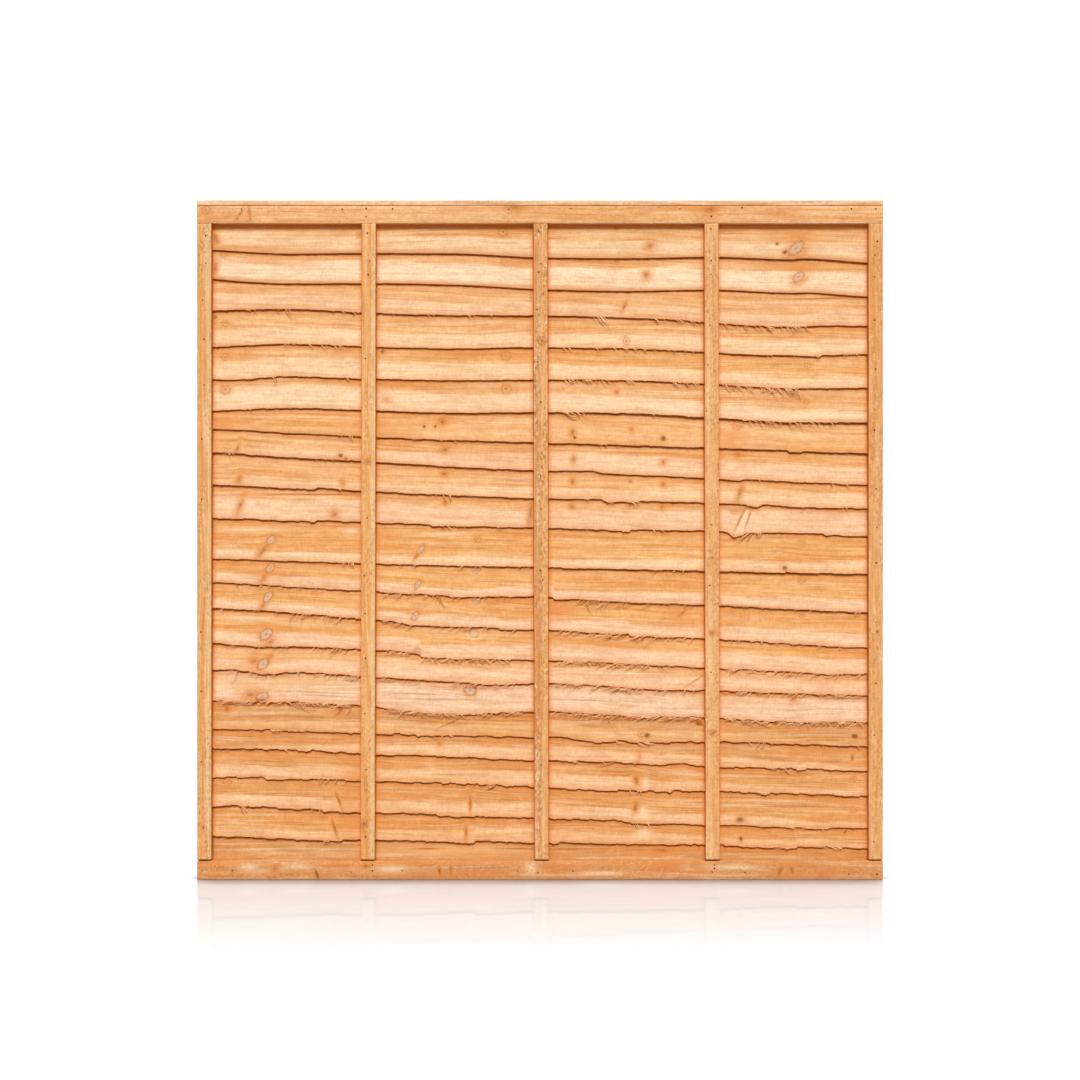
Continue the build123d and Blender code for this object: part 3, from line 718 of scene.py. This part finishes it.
def timber_piece(node, along, material, slot, arris, seed):
    """One sawn batten, rail or cap: softened arrises, wavering faces, squared ends."""
    (start, stop), half_width, half_depth = timber_ends(node, along)
    ring = timber_ring(half_width, half_depth, arris * MM)
    length = stop[along] - start[along]
    rim = END_RIM / length
    inner = np.linspace(0, 1, int(length / TIMBER_STEP))[1:-1]
    shares = np.concatenate([[0.0, rim], inner, [1 - rim, 1.0]])
    around = np.cumsum(np.hypot(*np.diff(ring, axis=0, prepend=ring[-1:]).T))
    bands, spots = np.meshgrid(around, shares * length)
    deep = sunk(spots, bands, SAW_WAVER, seed) + sunk(spots, bands, SAW_SWEEP, seed)
    deep[[0, -1]] += END_SUNK
    shrink = 1 - deep * MM / np.abs(ring).max(1)
    across = 2 - along
    points = np.empty((*spots.shape, 3))
    middles = start + (stop - start) * shares[:, None]
    points[:, :, along] = middles[:, along, None]
    points[:, :, across] = middles[:, across, None] + ring[:, 0] * shrink
    points[:, :, 1] = middles[:, 1, None] + ring[:, 1] * shrink
    faces = tube_faces(*spots.shape)
    if along == 2:
        faces = [face[::-1] for face in faces]
    offset = points[:, :, across] - middles[:, across, None]
    piece = add_piece(f"timber_{node}", points, faces, material, slot, offset=offset,
                      ahead=points[:, :, 1] < 0)
    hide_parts(node)


def nail_places(node, axis, side):
    """Where the heads of a group of brads are, and how long the brads are."""
    points = cad_triangles(node)[0].reshape(-1, 3)
    low, high = points[:, axis].min(), points[:, axis].max()
    heads = np.abs(points[:, axis] - (low if side < 0 else high)) < SAME_PLANE
    places = []
    for point in points[heads]:
        for group in places:
            if np.linalg.norm(group[0] - point) < HEAD_SPAN:
                group.append(point)
                break
        else:
            places.append([point])
    middles = [(np.min(group, 0) + np.max(group, 0)) / 2 for group in places]
    return sorted(middles, key=lambda place: tuple(place)), high - low


def brad_rings(radius, length, rng):
    """One brad along its own axis: a dented head, a square shank and a chisel point."""
    turns = [2 * math.pi * i / BRAD_SIDES for i in range(BRAD_SIDES)]
    rings = []
    for share, rise in BRAD_HEAD:
        ring = []
        for turn in turns:
            size = radius * share * (1 + rng.uniform(-0.08, 0.08))
            ring.append((size * math.cos(turn), size * math.sin(turn),
                         rise * MM + rng.uniform(-0.03, 0.03) * MM))
        rings.append(ring)
    for depth, size in ((0.6 * MM, 1.0), (length - 4 * MM, 1.0), (length, 0.25)):
        ring = []
        for turn in turns:
            reach = BRAD_SHANK * size / max(abs(math.cos(turn)), abs(math.sin(turn)))
            ring.append((reach * math.cos(turn), reach * math.sin(turn), -depth))
        rings.append(ring)
    return rings


def brads_piece(node, axis, side, material):
    """A group of brads with their heads in the face that they were driven into."""
    places, length = nail_places(node, axis, side)
    rng = random.Random(node)
    points = []
    faces = []
    for place in places:
        rings = brad_rings(rng.uniform(*BRAD_RADIUS) * MM, length, rng)
        base = len(points)
        for a, b, out in sum(rings, []):
            if axis == 1:
                points.append((place[0] + a, place[1] - out, place[2] + b))
            else:
                points.append((place[0] + a, place[1] + b, place[2] - CAP_SUNK + out))
        for face in tube_faces(len(rings), BRAD_SIDES):
            faces.append([base + corner for corner in face[::-1]])
    piece = add_piece(f"brads_{node[6:]}", np.array(points), faces, material, "nails")
    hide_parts(node)


def fibre_rings(route, thickness):
    """A three-sided fibre along a route, thinning to its tip."""
    rings = []
    for step, point in enumerate(route):
        share = step / (len(route) - 1)
        size = thickness * (1 - 0.85 * share * share) / 2
        rings.append([(point[0] + size * math.cos(turn), point[1] + 0.6 * size * math.sin(turn),
                       point[2] + size * math.sin(turn + 0.5)) for turn in (0.3, 2.4, 4.5)])
    return rings


def clear_of_battens(xs):
    """Whether a run along the panel keeps out of the front battens."""
    for index in range(1, 6):
        low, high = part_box(f"batten_front_{index}")
        if any(low.x - 3 * MM < x < high.x + 3 * MM for x in xs):
            return False
    return True


def fibre_route(number, x, steps, bulge):
    """Points of a fibre that starts at a slat's lower edge and hangs down by steps."""
    shape = SHAPES[number]
    edge = shape.edges(np.array([x]))[0][0]
    low = edge + jagged(number, np.array([x, x + MM]))[0] * 0.5
    face = shape.y(shape.front, x, low)
    route = [(x, face + 0.9 * MM, low + 1.2 * MM)]
    for index, (along, down) in enumerate(steps):
        share = (index + 1) / len(steps)
        forward = bulge * math.sin(math.pi * share) + 0.5 * MM
        route.append((x + along, face - forward, low - down))
    return route


def fray_fibres(number, rng):
    """A slat's torn fibres, from its clusters: start, steps, thickness, bulge and tone."""
    fibres = []
    for first, last, count, length, slant in FRAYS.get(number, []):
        for _ in range(count):
            x = rng.uniform(first, last) * MM
            reach = length * rng.uniform(0.5, 1.25) * MM
            turn = math.radians(slant + rng.uniform(-14, 14))
            bend = rng.uniform(-0.35, 0.35)
            steps = []
            for share in (0.25, 0.5, 0.75, 1.0):
                here = turn + bend * share
                down = max(reach * share * math.cos(here), 0.2 * MM)
                steps.append((reach * share * math.sin(here), down))
            thickness = rng.uniform(1.1, 2.3) * MM
            fibres.append((x, steps, thickness, rng.uniform(1.5, 4.0) * MM, rng.random()))
    return fibres


def fibres_piece(number, material):
    """All the torn fibres and splinters that hang from one slat."""
    node = f"slat_{number:02d}"
    fibres = fray_fibres(number, random.Random(f"fibres {node}"))
    for owner, x, steps, thickness, tone in SPLINTERS:
        if owner == number:
            run = [(along * MM, down * MM) for along, down in steps]
            fibres.append((x * MM, run, thickness * MM, 2.0 * MM, tone))
    points = []
    faces = []
    tones = []
    for x, steps, thickness, bulge, tone in fibres:
        places = [x] + [x + along for along, _ in steps]
        past_end = max(abs(x), abs(places[-1])) > SHAPES[number].ends[1]
        if past_end or not clear_of_battens(places):
            continue
        rings = fibre_rings(fibre_route(number, x, steps, bulge), thickness)
        base = len(points)
        points += sum(rings, [])
        tones += [tone] * (3 * len(rings))
        for face in tube_faces(len(rings), 3):
            faces.append([base + corner for corner in face])
    if points:
        add_piece(f"fibres_{node}", np.array(points), faces, material, "slats",
                  smooth=False, tone=np.array(tones))


# Materials

class Shade:
    """Short calls that add nodes to a node tree and give back their outputs."""

    def __init__(self, tree):
        self.tree = tree

    def put(self, socket, value):
        if isinstance(value, bpy.types.NodeSocket):
            self.tree.links.new(value, socket)
        else:
            socket.default_value = value

    def node(self, kind, inputs=None, **settings):
        """A node with these settings, and with these values or links at its inputs."""
        made = self.tree.nodes.new(kind)
        for label, value in settings.items():
            setattr(made, label, value)
        for label, value in (inputs or {}).items():
            self.put(made.inputs[label], value)
        return made

    def math(self, operation, a, b=0.0):
        return self.node("ShaderNodeMath", {0: a, 1: b}, operation=operation).outputs[0]

    def minus(self, a, b):
        return self.math("SUBTRACT", a, b)

    def times(self, result, *others):
        for value in others:
            result = self.math("MULTIPLY", result, value)
        return result

    def plus(self, result, *others):
        for value in others:
            result = self.math("ADD", result, value)
        return result

    def vector(self, x, y, z):
        return self.node("ShaderNodeCombineXYZ", {0: x, 1: y, 2: z}).outputs[0]

    def split(self, vector):
        return self.node("ShaderNodeSeparateXYZ", {0: vector}).outputs

    def place(self):
        return self.node("ShaderNodeTexCoord").outputs["Object"]

    def noise(self, vector, detail, roughness=0.5):
        inputs = {"Vector": vector, "Scale": 1.0, "Detail": detail, "Roughness": roughness}
        return self.node("ShaderNodeTexNoise", inputs).outputs[0]

    def streaks(self, place, rates, detail=3.0, roughness=0.5):
        """Noise drawn out along the grain; rates are its cells in a metre."""
        along, across, depth = place
        vector = self.vector(self.times(along, rates[0]), self.times(across, rates[1]), depth)
        return self.noise(vector, detail, roughness)

    def fuzz(self, place, rates, roughness=0.5):
        """The same noise, about 0 and not about 0.5."""
        return self.minus(self.streaks(place, rates, 3.0, roughness), 0.5)

    def smooth(self, value, low, high, first=0.0, last=1.0):
        inputs = {0: value, 1: low, 2: high, 3: first, 4: last}
        return self.node("ShaderNodeMapRange", inputs,
                         interpolation_type="SMOOTHSTEP").outputs[0]

    def mix(self, share, a, b, blend="MIX"):
        return self.node("ShaderNodeMix", {0: share, 6: a, 7: b}, data_type="RGBA",
                         blend_type=blend).outputs[2]

    def paint(self, colour, share, tone):
        """A share of an sRGB tone over a colour."""
        return self.mix(share, colour, linear(tone))

    def attribute(self, label):
        return self.node("ShaderNodeAttribute", attribute_name=label).outputs["Fac"]

    def use(self, group, **inputs):
        """The outputs of a node group with these inputs."""
        return self.node("ShaderNodeGroup", inputs, node_tree=group).outputs

    def finish(self, colour, roughness, specular, bump=None):
        """The material's shader and its output; bump is its height, strength and depth."""
        shader = self.node("ShaderNodeBsdfPrincipled", {
            "Base Color": colour, "Roughness": roughness, "Specular IOR Level": specular})
        if bump:
            height, strength, depth = bump
            inputs = {"Strength": strength, "Distance": depth, "Height": height}
            self.put(shader.inputs["Normal"], self.node("ShaderNodeBump", inputs).outputs[0])
        self.node("ShaderNodeOutputMaterial", {"Surface": shader.outputs[0]})


def emptied(block):
    """A Shade for the emptied node tree of a material or a world."""
    block.use_nodes = True
    block.node_tree.nodes.clear()
    return Shade(block.node_tree)


NUMBER, VECTOR, COLOUR = "NodeSocketFloat", "NodeSocketVector", "NodeSocketColor"


def new_group(name, inputs, outputs):
    """A node group with these sockets, its Shade, and its inputs and outputs inside."""
    group = bpy.data.node_groups.new(name, "ShaderNodeTree")
    for way, sockets in (("INPUT", inputs), ("OUTPUT", outputs)):
        for label, kind in sockets.items():
            group.interface.new_socket(label, in_out=way, socket_type=kind)
    s = Shade(group)
    return group, s, s.node("NodeGroupInput").outputs, s.node("NodeGroupOutput").inputs


def grain_bend_group():
    """Growth lines that part and close again round a knot."""
    group, s, source, target = new_group(
        "grain_bend", dict(spot=VECTOR, width=NUMBER, bend=NUMBER, grain=NUMBER),
        dict(grain=NUMBER))
    u, v, _ = s.split(source["spot"])
    square = s.plus(s.times(u, u), s.times(v, v))
    push = s.times(v, source["width"], source["bend"])
    shift = s.math("DIVIDE", push, s.plus(square, 0.6))
    s.put(target["grain"], s.minus(source["grain"], shift))
    return group


def mark_group():
    """One knot or stain painted over the wood: halo, core, dark ring and pith."""
    group, s, source, target = new_group(
        "mark", dict(spot=VECTOR, wobble=NUMBER, colour=COLOUR, core_colour=COLOUR, core=NUMBER,
                     soft=NUMBER, ring=NUMBER, halo_colour=COLOUR, halo=NUMBER, pith=NUMBER),
        dict(colour=COLOUR))
    length = s.node("ShaderNodeVectorMath", {0: source["spot"]}, operation="LENGTH")
    away = s.plus(length.outputs["Value"], source["wobble"])
    halo = s.times(s.smooth(away, 0.8, 2.6, 1.0, 0.0), source["halo"])
    colour = s.mix(halo, source["colour"], source["halo_colour"])
    inner = s.minus(1.0, s.times(source["soft"], 0.75))
    outer = s.plus(1.0, s.times(source["soft"], 0.35))
    core = s.times(s.smooth(away, inner, outer, 1.0, 0.0), source["core"])
    years = s.smooth(s.math("SINE", s.times(away, 17.0)), -1.0, 1.0, 0.82, 1.0)
    core_tone = s.paint(source["core_colour"], s.minus(1.0, years), BROWN)
    colour = s.mix(core, colour, core_tone)
    rise = s.smooth(away, 0.72, 0.98)
    fall = s.smooth(away, 1.0, 1.3, 1.0, 0.0)
    colour = s.paint(colour, s.times(rise, fall, source["ring"]), BROWN)
    pith = s.times(s.smooth(away, 0.08, 0.32, 1.0, 0.0), source["pith"])
    s.put(target["colour"], s.paint(colour, pith, DARK))
    return group


def wood_group():
    """Softwood surface: streaks, growth lines, fibres, saw marks and mottling."""
    group, s, source, target = new_group(
        "softwood", dict(along=NUMBER, across=NUMBER, depth=NUMBER, grain=NUMBER,
                         face_colour=COLOUR, other_colour=COLOUR, share=NUMBER, veins=NUMBER),
        dict(colour=COLOUR, height=NUMBER))
    figure = {}
    for layer, (line, rate_along, rate_across, detail, roughness) in FIGURE.items():
        place = source["along"], source[line], s.times(source["depth"], rate_across)
        figure[layer] = s.streaks(place, (rate_along, rate_across), detail, roughness)
    share = source["share"]
    colour = s.mix(share, source["face_colour"], source["other_colour"])
    calm = s.smooth(share, 0.0, 1.0, 1.0, SAPWOOD_CALM)
    for layer, low, high, first, last, calmed, tone in TINTS:
        amount = s.smooth(figure[layer], low, high, first, last)
        if calmed:
            amount = s.times(amount, calm)
        if layer == "lines":
            amount = s.times(amount, source["veins"])
        colour = s.paint(colour, amount, tone)
    shade = s.times(*[s.smooth(figure[layer], 0.3, 0.7, *factors)
                      for layer, factors in SHADING.items()])
    red = s.plus(s.times(shade, 0.6), 0.4)
    blue = s.plus(s.times(shade, 1.2), -0.2)
    s.put(target["colour"], s.mix(1.0, colour, s.vector(red, shade, blue), "MULTIPLY"))
    s.put(target["height"], s.plus(*[s.times(figure[layer], amount)
                                     for layer, amount in RELIEF.items()]))
    return group


def wood_material(node, along_axis, marks, seed, slope, tones, veins, share, special):
    """A timber's own material: its grain, its marks and what is special to it, painted shade
    included.
    """
    material = bpy.data.materials.new(f"wood_{node}")
    s = emptied(material)
    x, y, z = s.split(s.place())
    along, across = (x, z) if along_axis == 0 else (z, x)
    place = along, across, s.plus(y, seed * TIMBER_SPACING)
    grain = s.minus(across, s.times(along, slope))
    grain = s.plus(grain, s.times(s.streaks(place, GRAIN_DRIFT, 1.0), DRIFT_REACH))
    flat = s.vector(x, z, 0.0)
    spots = []
    for kind, mark_along, mark_up, half_length, half_width, *turn in marks:
        spot = s.node("ShaderNodeMapping", {
            "Vector": flat, "Location": (mark_along * MM, mark_up * MM, 0.0),
            "Rotation": (0.0, 0.0, math.radians(sum(turn))),
            "Scale": (half_length * MM, half_width * MM, 1.0)}, vector_type="TEXTURE").outputs[0]
        spots.append((kind, spot))
        bend = MARKS[kind][7]
        if bend:
            grain = s.use(GRAIN_BEND, spot=spot, width=half_width * MM, bend=bend,
                          grain=grain)["grain"]
    wood = s.use(SOFTWOOD, along=along, across=across, depth=place[2], grain=grain,
                 face_colour=linear(tones[0]), other_colour=linear(tones[1]),
                 share=share(s, place), veins=veins)
    colour = wood["colour"]
    if spots:
        wobble = s.times(s.fuzz(place, MARK_RUFFLE, 0.65), RUFFLE_REACH)
    for kind, spot in spots:
        core, amount, soft, ring, halo, halo_amount, pith, _ = MARKS[kind]
        if kind in FRONT_ONLY:
            amount = s.times(s.attribute("ahead"), amount)
            halo_amount = s.times(s.attribute("ahead"), halo_amount)
        colour = s.use(MARK, spot=spot, wobble=wobble, colour=colour, core_colour=linear(core),
                       core=amount, soft=soft, ring=ring, halo_colour=linear(halo),
                       halo=halo_amount, pith=pith)["colour"]
    s.finish(special(s, colour, place), *WOOD_FINISH, (wood["height"], *WOOD_BUMP))
    return material


def slat_material(number):
    """A slat's material: paler sapwood above its lower edge, a darker torn edge, and painted
    shade under the lap above it and beside the battens.
    """
    look = LOOKS[number]
    low, _ = SHAPES[number].edges(np.array([-SLOPE_REACH, SLOPE_REACH]))
    slope = (low[1] - low[0]) / (2 * SLOPE_REACH)

    def sapwood_share(s, place):
        line = s.plus(s.attribute("sapwood"), s.times(s.fuzz(place, SAPWOOD_FUZZ), 20 * MM))
        return s.smooth(line, -5 * MM, 5 * MM, look.share, 0.0)

    def torn_edge_and_shade(s, colour, place):
        fuzz = s.fuzz(place, EDGE_FUZZ)
        ahead, edge, near = [s.attribute(label) for label in ("ahead", "edge", "beside")]
        shown = s.smooth(ahead, 0.0, 1.0, BACK_LAP, 1.0)
        # Painted shade under the edge that laps over the slat: soft, then dark right under it;
        # under the top rail a broader painted shadow; at the back it is weaker and sits above
        # the next slat's top edge
        under = s.plus(s.attribute("under"), s.times(fuzz, 11 * MM))
        soft = s.smooth(under, 0.0, 24 * MM, 0.50, 0.0)
        colour = s.paint(colour, s.times(soft, shown), SHADE_AND_EDGE_TONE)
        reach, strength, tone = LAP_UNDER_RAIL if number == 1 else LAP
        lap = s.smooth(under, 0.4 * reach * MM, 1.3 * reach * MM, strength, 0.0)
        lap_tone = s.mix(ahead, linear(BROWN), linear(tone))
        colour = s.mix(s.times(lap, shown), colour, lap_tone)
        # Painted shade beside the battens, and a thin painted shadow right at their edges
        beside = s.plus(near, s.times(fuzz, 10 * MM))
        colour = s.paint(colour, s.smooth(beside, -1 * MM, 14 * MM, 0.60, 0.0), SHADE_AND_EDGE_TONE)
        colour = s.paint(colour, s.smooth(near, 0.0, 3.5 * MM, 0.55, 0.0), EDGE_BROWN)
        # A warmer tone above the slat's own lower edge
        colour = s.paint(colour, s.smooth(edge, 0.0, 18 * MM, look.warmth, 0.0), SHADE_AND_EDGE_TONE)
        # The torn edge's own brown, deepened into painted shade for the dark line under the slat
        return s.paint(colour, s.smooth(edge, 0.2 * MM, 2.0 * MM, 0.70, 0.0), EDGE_BROWN)

    return wood_material(f"slat_{number:02d}", 0, SLAT_MARKS.get(number, []), number, slope,
                         (look.face, look.sapwood), look.veins, sapwood_share, torn_edge_and_shade)


def timber_material(node, along_axis, seed):
    """A frame timber's material: a paler or darker strip, flecks, end grain, and painted shadow
    under the cap and at the battens' feet.
    """
    tone, strip, line, flecks = TIMBER_TONES[node]

    def strip_share(s, place):
        offset = s.plus(s.attribute("offset"), s.times(s.fuzz(place, STRIP_FUZZ), 30 * MM))
        return s.smooth(offset, (line - 3) * MM, (line + 3) * MM, 0.0, 0.8)

    def specks_and_shade(s, colour, place):
        along, across, depth = place
        offset = s.attribute("offset")
        fine = along, across, s.times(depth, FLECK_RATES[1])
        small = s.streaks(fine, FLECK_RATES, 3.0, 0.6)
        where = s.smooth(s.streaks(place, FLECK_PATCHES, 2.0), 0.38, 0.60)
        colour = s.paint(colour, s.times(s.smooth(small, 0.50, 0.66), where, flecks), FLECK)
        bright = s.smooth(small, 0.30, 0.46, 0.9, 0.0)
        colour = s.paint(colour, s.times(bright, where, flecks), CREAM)
        # Painted shadow under the cap's overhang
        if node == "top_rail_front":
            cap_shadow = s.smooth(offset, 21 * MM, 24.5 * MM, 0.0, 0.75)
            colour = s.paint(colour, cap_shadow, EDGE_BROWN)
        if along_axis == 2:
            half = timber_ends(node, along_axis)[1]
            rim = s.smooth(s.math("ABSOLUTE", offset), half - 2.6 * MM, half, 0.0, 0.45)
            colour = s.paint(colour, rim, EDGE_BROWN)
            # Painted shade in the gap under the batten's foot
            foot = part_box(node)[0].z
            gap_shade = s.smooth(along, foot + 0.8 * MM, foot + 3.2 * MM, 0.9, 0.0)
            colour = s.paint(colour, gap_shade, DARK)
        normal = s.node("ShaderNodeNewGeometry").outputs["True Normal"]
        facing = s.math("ABSOLUTE", s.split(normal)[along_axis])
        return s.paint(colour, s.smooth(facing, 0.75, 0.95, 0.0, 0.45), BROWN)

    return wood_material(node, along_axis, TIMBER_MARKS.get(node, []), seed, 0.0,
                         (tone, strip), PLAIN_VEINS, strip_share, specks_and_shade)


def fibre_material():
    """Torn fibres: tan to brown, each fibre its own tone."""
    material = bpy.data.materials.new("torn_fibre")
    s = emptied(material)
    stripes = s.noise(s.place(), 2.0)
    tone = s.attribute("tone")
    colour = s.mix(s.smooth(tone, 0.0, 0.7), linear(BLUSH), linear(FAWN))
    colour = s.paint(colour, s.smooth(tone, 0.66, 0.95, 0.0, 0.9), EDGE_BROWN)
    colour = s.paint(colour, s.smooth(stripes, 0.4, 0.7, 0.0, 0.3), DEEP)
    colour = s.paint(colour, s.smooth(tone, 0.85, 1.0, 0.0, 0.9), BROWN)
    s.finish(colour, *FIBRE_FINISH)
    return material


def nail_material():
    """Dull brad heads, lightly rusted."""
    material = bpy.data.materials.new("rusted_brad")
    s = emptied(material)
    parts = [s.times(part, RUST_RATE) for part in s.split(s.place())]
    spots = s.noise(s.vector(*parts), 2.0)
    rust = s.smooth(spots, 0.42, 0.62)
    colour = s.mix(rust, linear(NAIL_STEEL), linear(NAIL_RUST))
    roughness = s.smooth(rust, 0.0, 1.0, 0.45, 0.85)
    s.finish(colour, roughness, NAIL_SPECULAR, (spots, *NAIL_BUMP))
    return material


# Studio

def white_where_seen(s, seen, other):
    """One shader for what the camera, mirrors and glass see, another for the rest."""
    path = s.node("ShaderNodeLightPath").outputs
    either = s.math("MAXIMUM", path["Is Camera Ray"], path["Is Glossy Ray"])
    either = s.math("MAXIMUM", either, path["Is Transmission Ray"])
    return s.node("ShaderNodeMixShader", {0: either, 1: other, 2: seen}).outputs[0]


def studio_world():
    """A white backdrop that lights the panel softly from all round."""
    world = bpy.data.worlds.new("studio")
    bpy.context.scene.world = world
    s = emptied(world)
    seen, lit = [s.node("ShaderNodeBackground", {"Color": (1.0, 1.0, 1.0, 1.0),
                                                 "Strength": strength}).outputs[0]
                 for strength in (1.0, SKY_STRENGTH)]
    s.node("ShaderNodeOutputWorld", {"Surface": white_where_seen(s, seen, lit)})


def floor_material():
    """Pale floor that shows white, keeps the shadow, dims its glow near the panel's foot as a
    painted contact shadow, and faintly mirrors the panel.
    """
    material = bpy.data.materials.new("floor")
    s = emptied(material)
    albedo = (FLOOR_ALBEDO, FLOOR_ALBEDO, FLOOR_ALBEDO, 1.0)
    plain = s.node("ShaderNodeBsdfDiffuse", {"Color": albedo}).outputs[0]
    # Painted contact shadow: the floor's glow fades where the panel is near, by ambient
    # occlusion
    contact_occlusion = s.node("ShaderNodeAmbientOcclusion", {"Distance": CONTACT_REACH})
    open_share = s.smooth(contact_occlusion.outputs["AO"], 0.55, 1.0)
    glow = s.node("ShaderNodeEmission", {"Strength": s.times(open_share, FLOOR_GLOW)})
    both = s.node("ShaderNodeAddShader", {0: plain, 1: glow.outputs[0]}).outputs[0]
    gloss = s.node("ShaderNodeBsdfGlossy", {"Roughness": 0.04}).outputs[0]
    distance = s.math("ABSOLUTE", s.split(s.place())[1])
    share = s.smooth(distance, 0.0, MIRROR_REACH, MIRROR_SHARE, 0.0)
    mirror = s.node("ShaderNodeMixShader", {0: share, 1: both, 2: gloss}).outputs[0]
    s.node("ShaderNodeOutputMaterial", {"Surface": white_where_seen(s, mirror, plain)})
    return material


def add_floor():
    """The floor that the panel stands on."""
    half = FLOOR_SIZE / 2
    mesh = bpy.data.meshes.new("floor")
    mesh.from_pydata([(-half, -half, 0), (half, -half, 0), (half, half, 0), (-half, half, 0)],
                     [], [(0, 1, 2, 3)])
    mesh.materials.append(floor_material())
    floor = linked("floor", mesh)


def add_sun(name, strength, softness, height, turn):
    """A soft lamp far off: height above the floor and turn from the front, in degrees."""
    light = bpy.data.lights.new(name, "SUN")
    light.energy = strength
    light.angle = math.radians(softness)
    lamp = linked(name, light)
    lamp.rotation_euler = (math.radians(90 - height), 0.0, math.radians(turn))


def add_camera():
    """The photo's view: straight on, at half the panel's height."""
    data = bpy.data.cameras.new("camera")
    data.lens = CAMERA_LENS
    data.sensor_width = 36.0
    camera = linked("camera", data)
    low, high = CAD_BOX
    camera.location = (0.0, -CAMERA_DISTANCE, (low[2] + high[2]) / 2)
    camera.rotation_euler = (math.radians(90), 0.0, 0.0)
    bpy.context.scene.camera = camera


GRAIN_BEND = grain_bend_group()
MARK = mark_group()
SOFTWOOD = wood_group()
FIBRE = fibre_material()
NAIL = nail_material()

for slat in LOOKS:
    slat_piece(slat, slat_material(slat))
    fibres_piece(slat, FIBRE)

TIMBERS = [("cap_strip", 0, "cap", 1.6)]
TIMBERS += [(f"{level}_rail_{side}", 0, "rails", 1.0)
            for level in ("top", "bottom") for side in ("front", "back")]
TIMBERS += [(f"batten_{side}_{index}", 2, "battens", 1.0)
            for side in ("front", "back") for index in range(1, 6)]
for seed, (timber, axis, slot, arris) in enumerate(TIMBERS, start=31):
    timber_piece(timber, axis, timber_material(timber, axis, seed), slot, arris, seed)

for index in range(1, 6):
    brads_piece(f"nails_batten_{index}", 1, -1, NAIL)
brads_piece("nails_top_rail", 1, -1, NAIL)
brads_piece("nails_bottom_rail", 1, -1, NAIL)
brads_piece("nails_cap", 2, 1, NAIL)

studio_world()
add_floor()
add_sun("key", SUN_STRENGTH, SUN_SOFTNESS, SUN_HEIGHT, 0.0)
add_sun("rear", REAR_SUN_STRENGTH, REAR_SUN_SOFTNESS, REAR_SUN_HEIGHT, 180.0)
add_camera()
bpy.context.scene.view_settings.view_transform = "Standard"
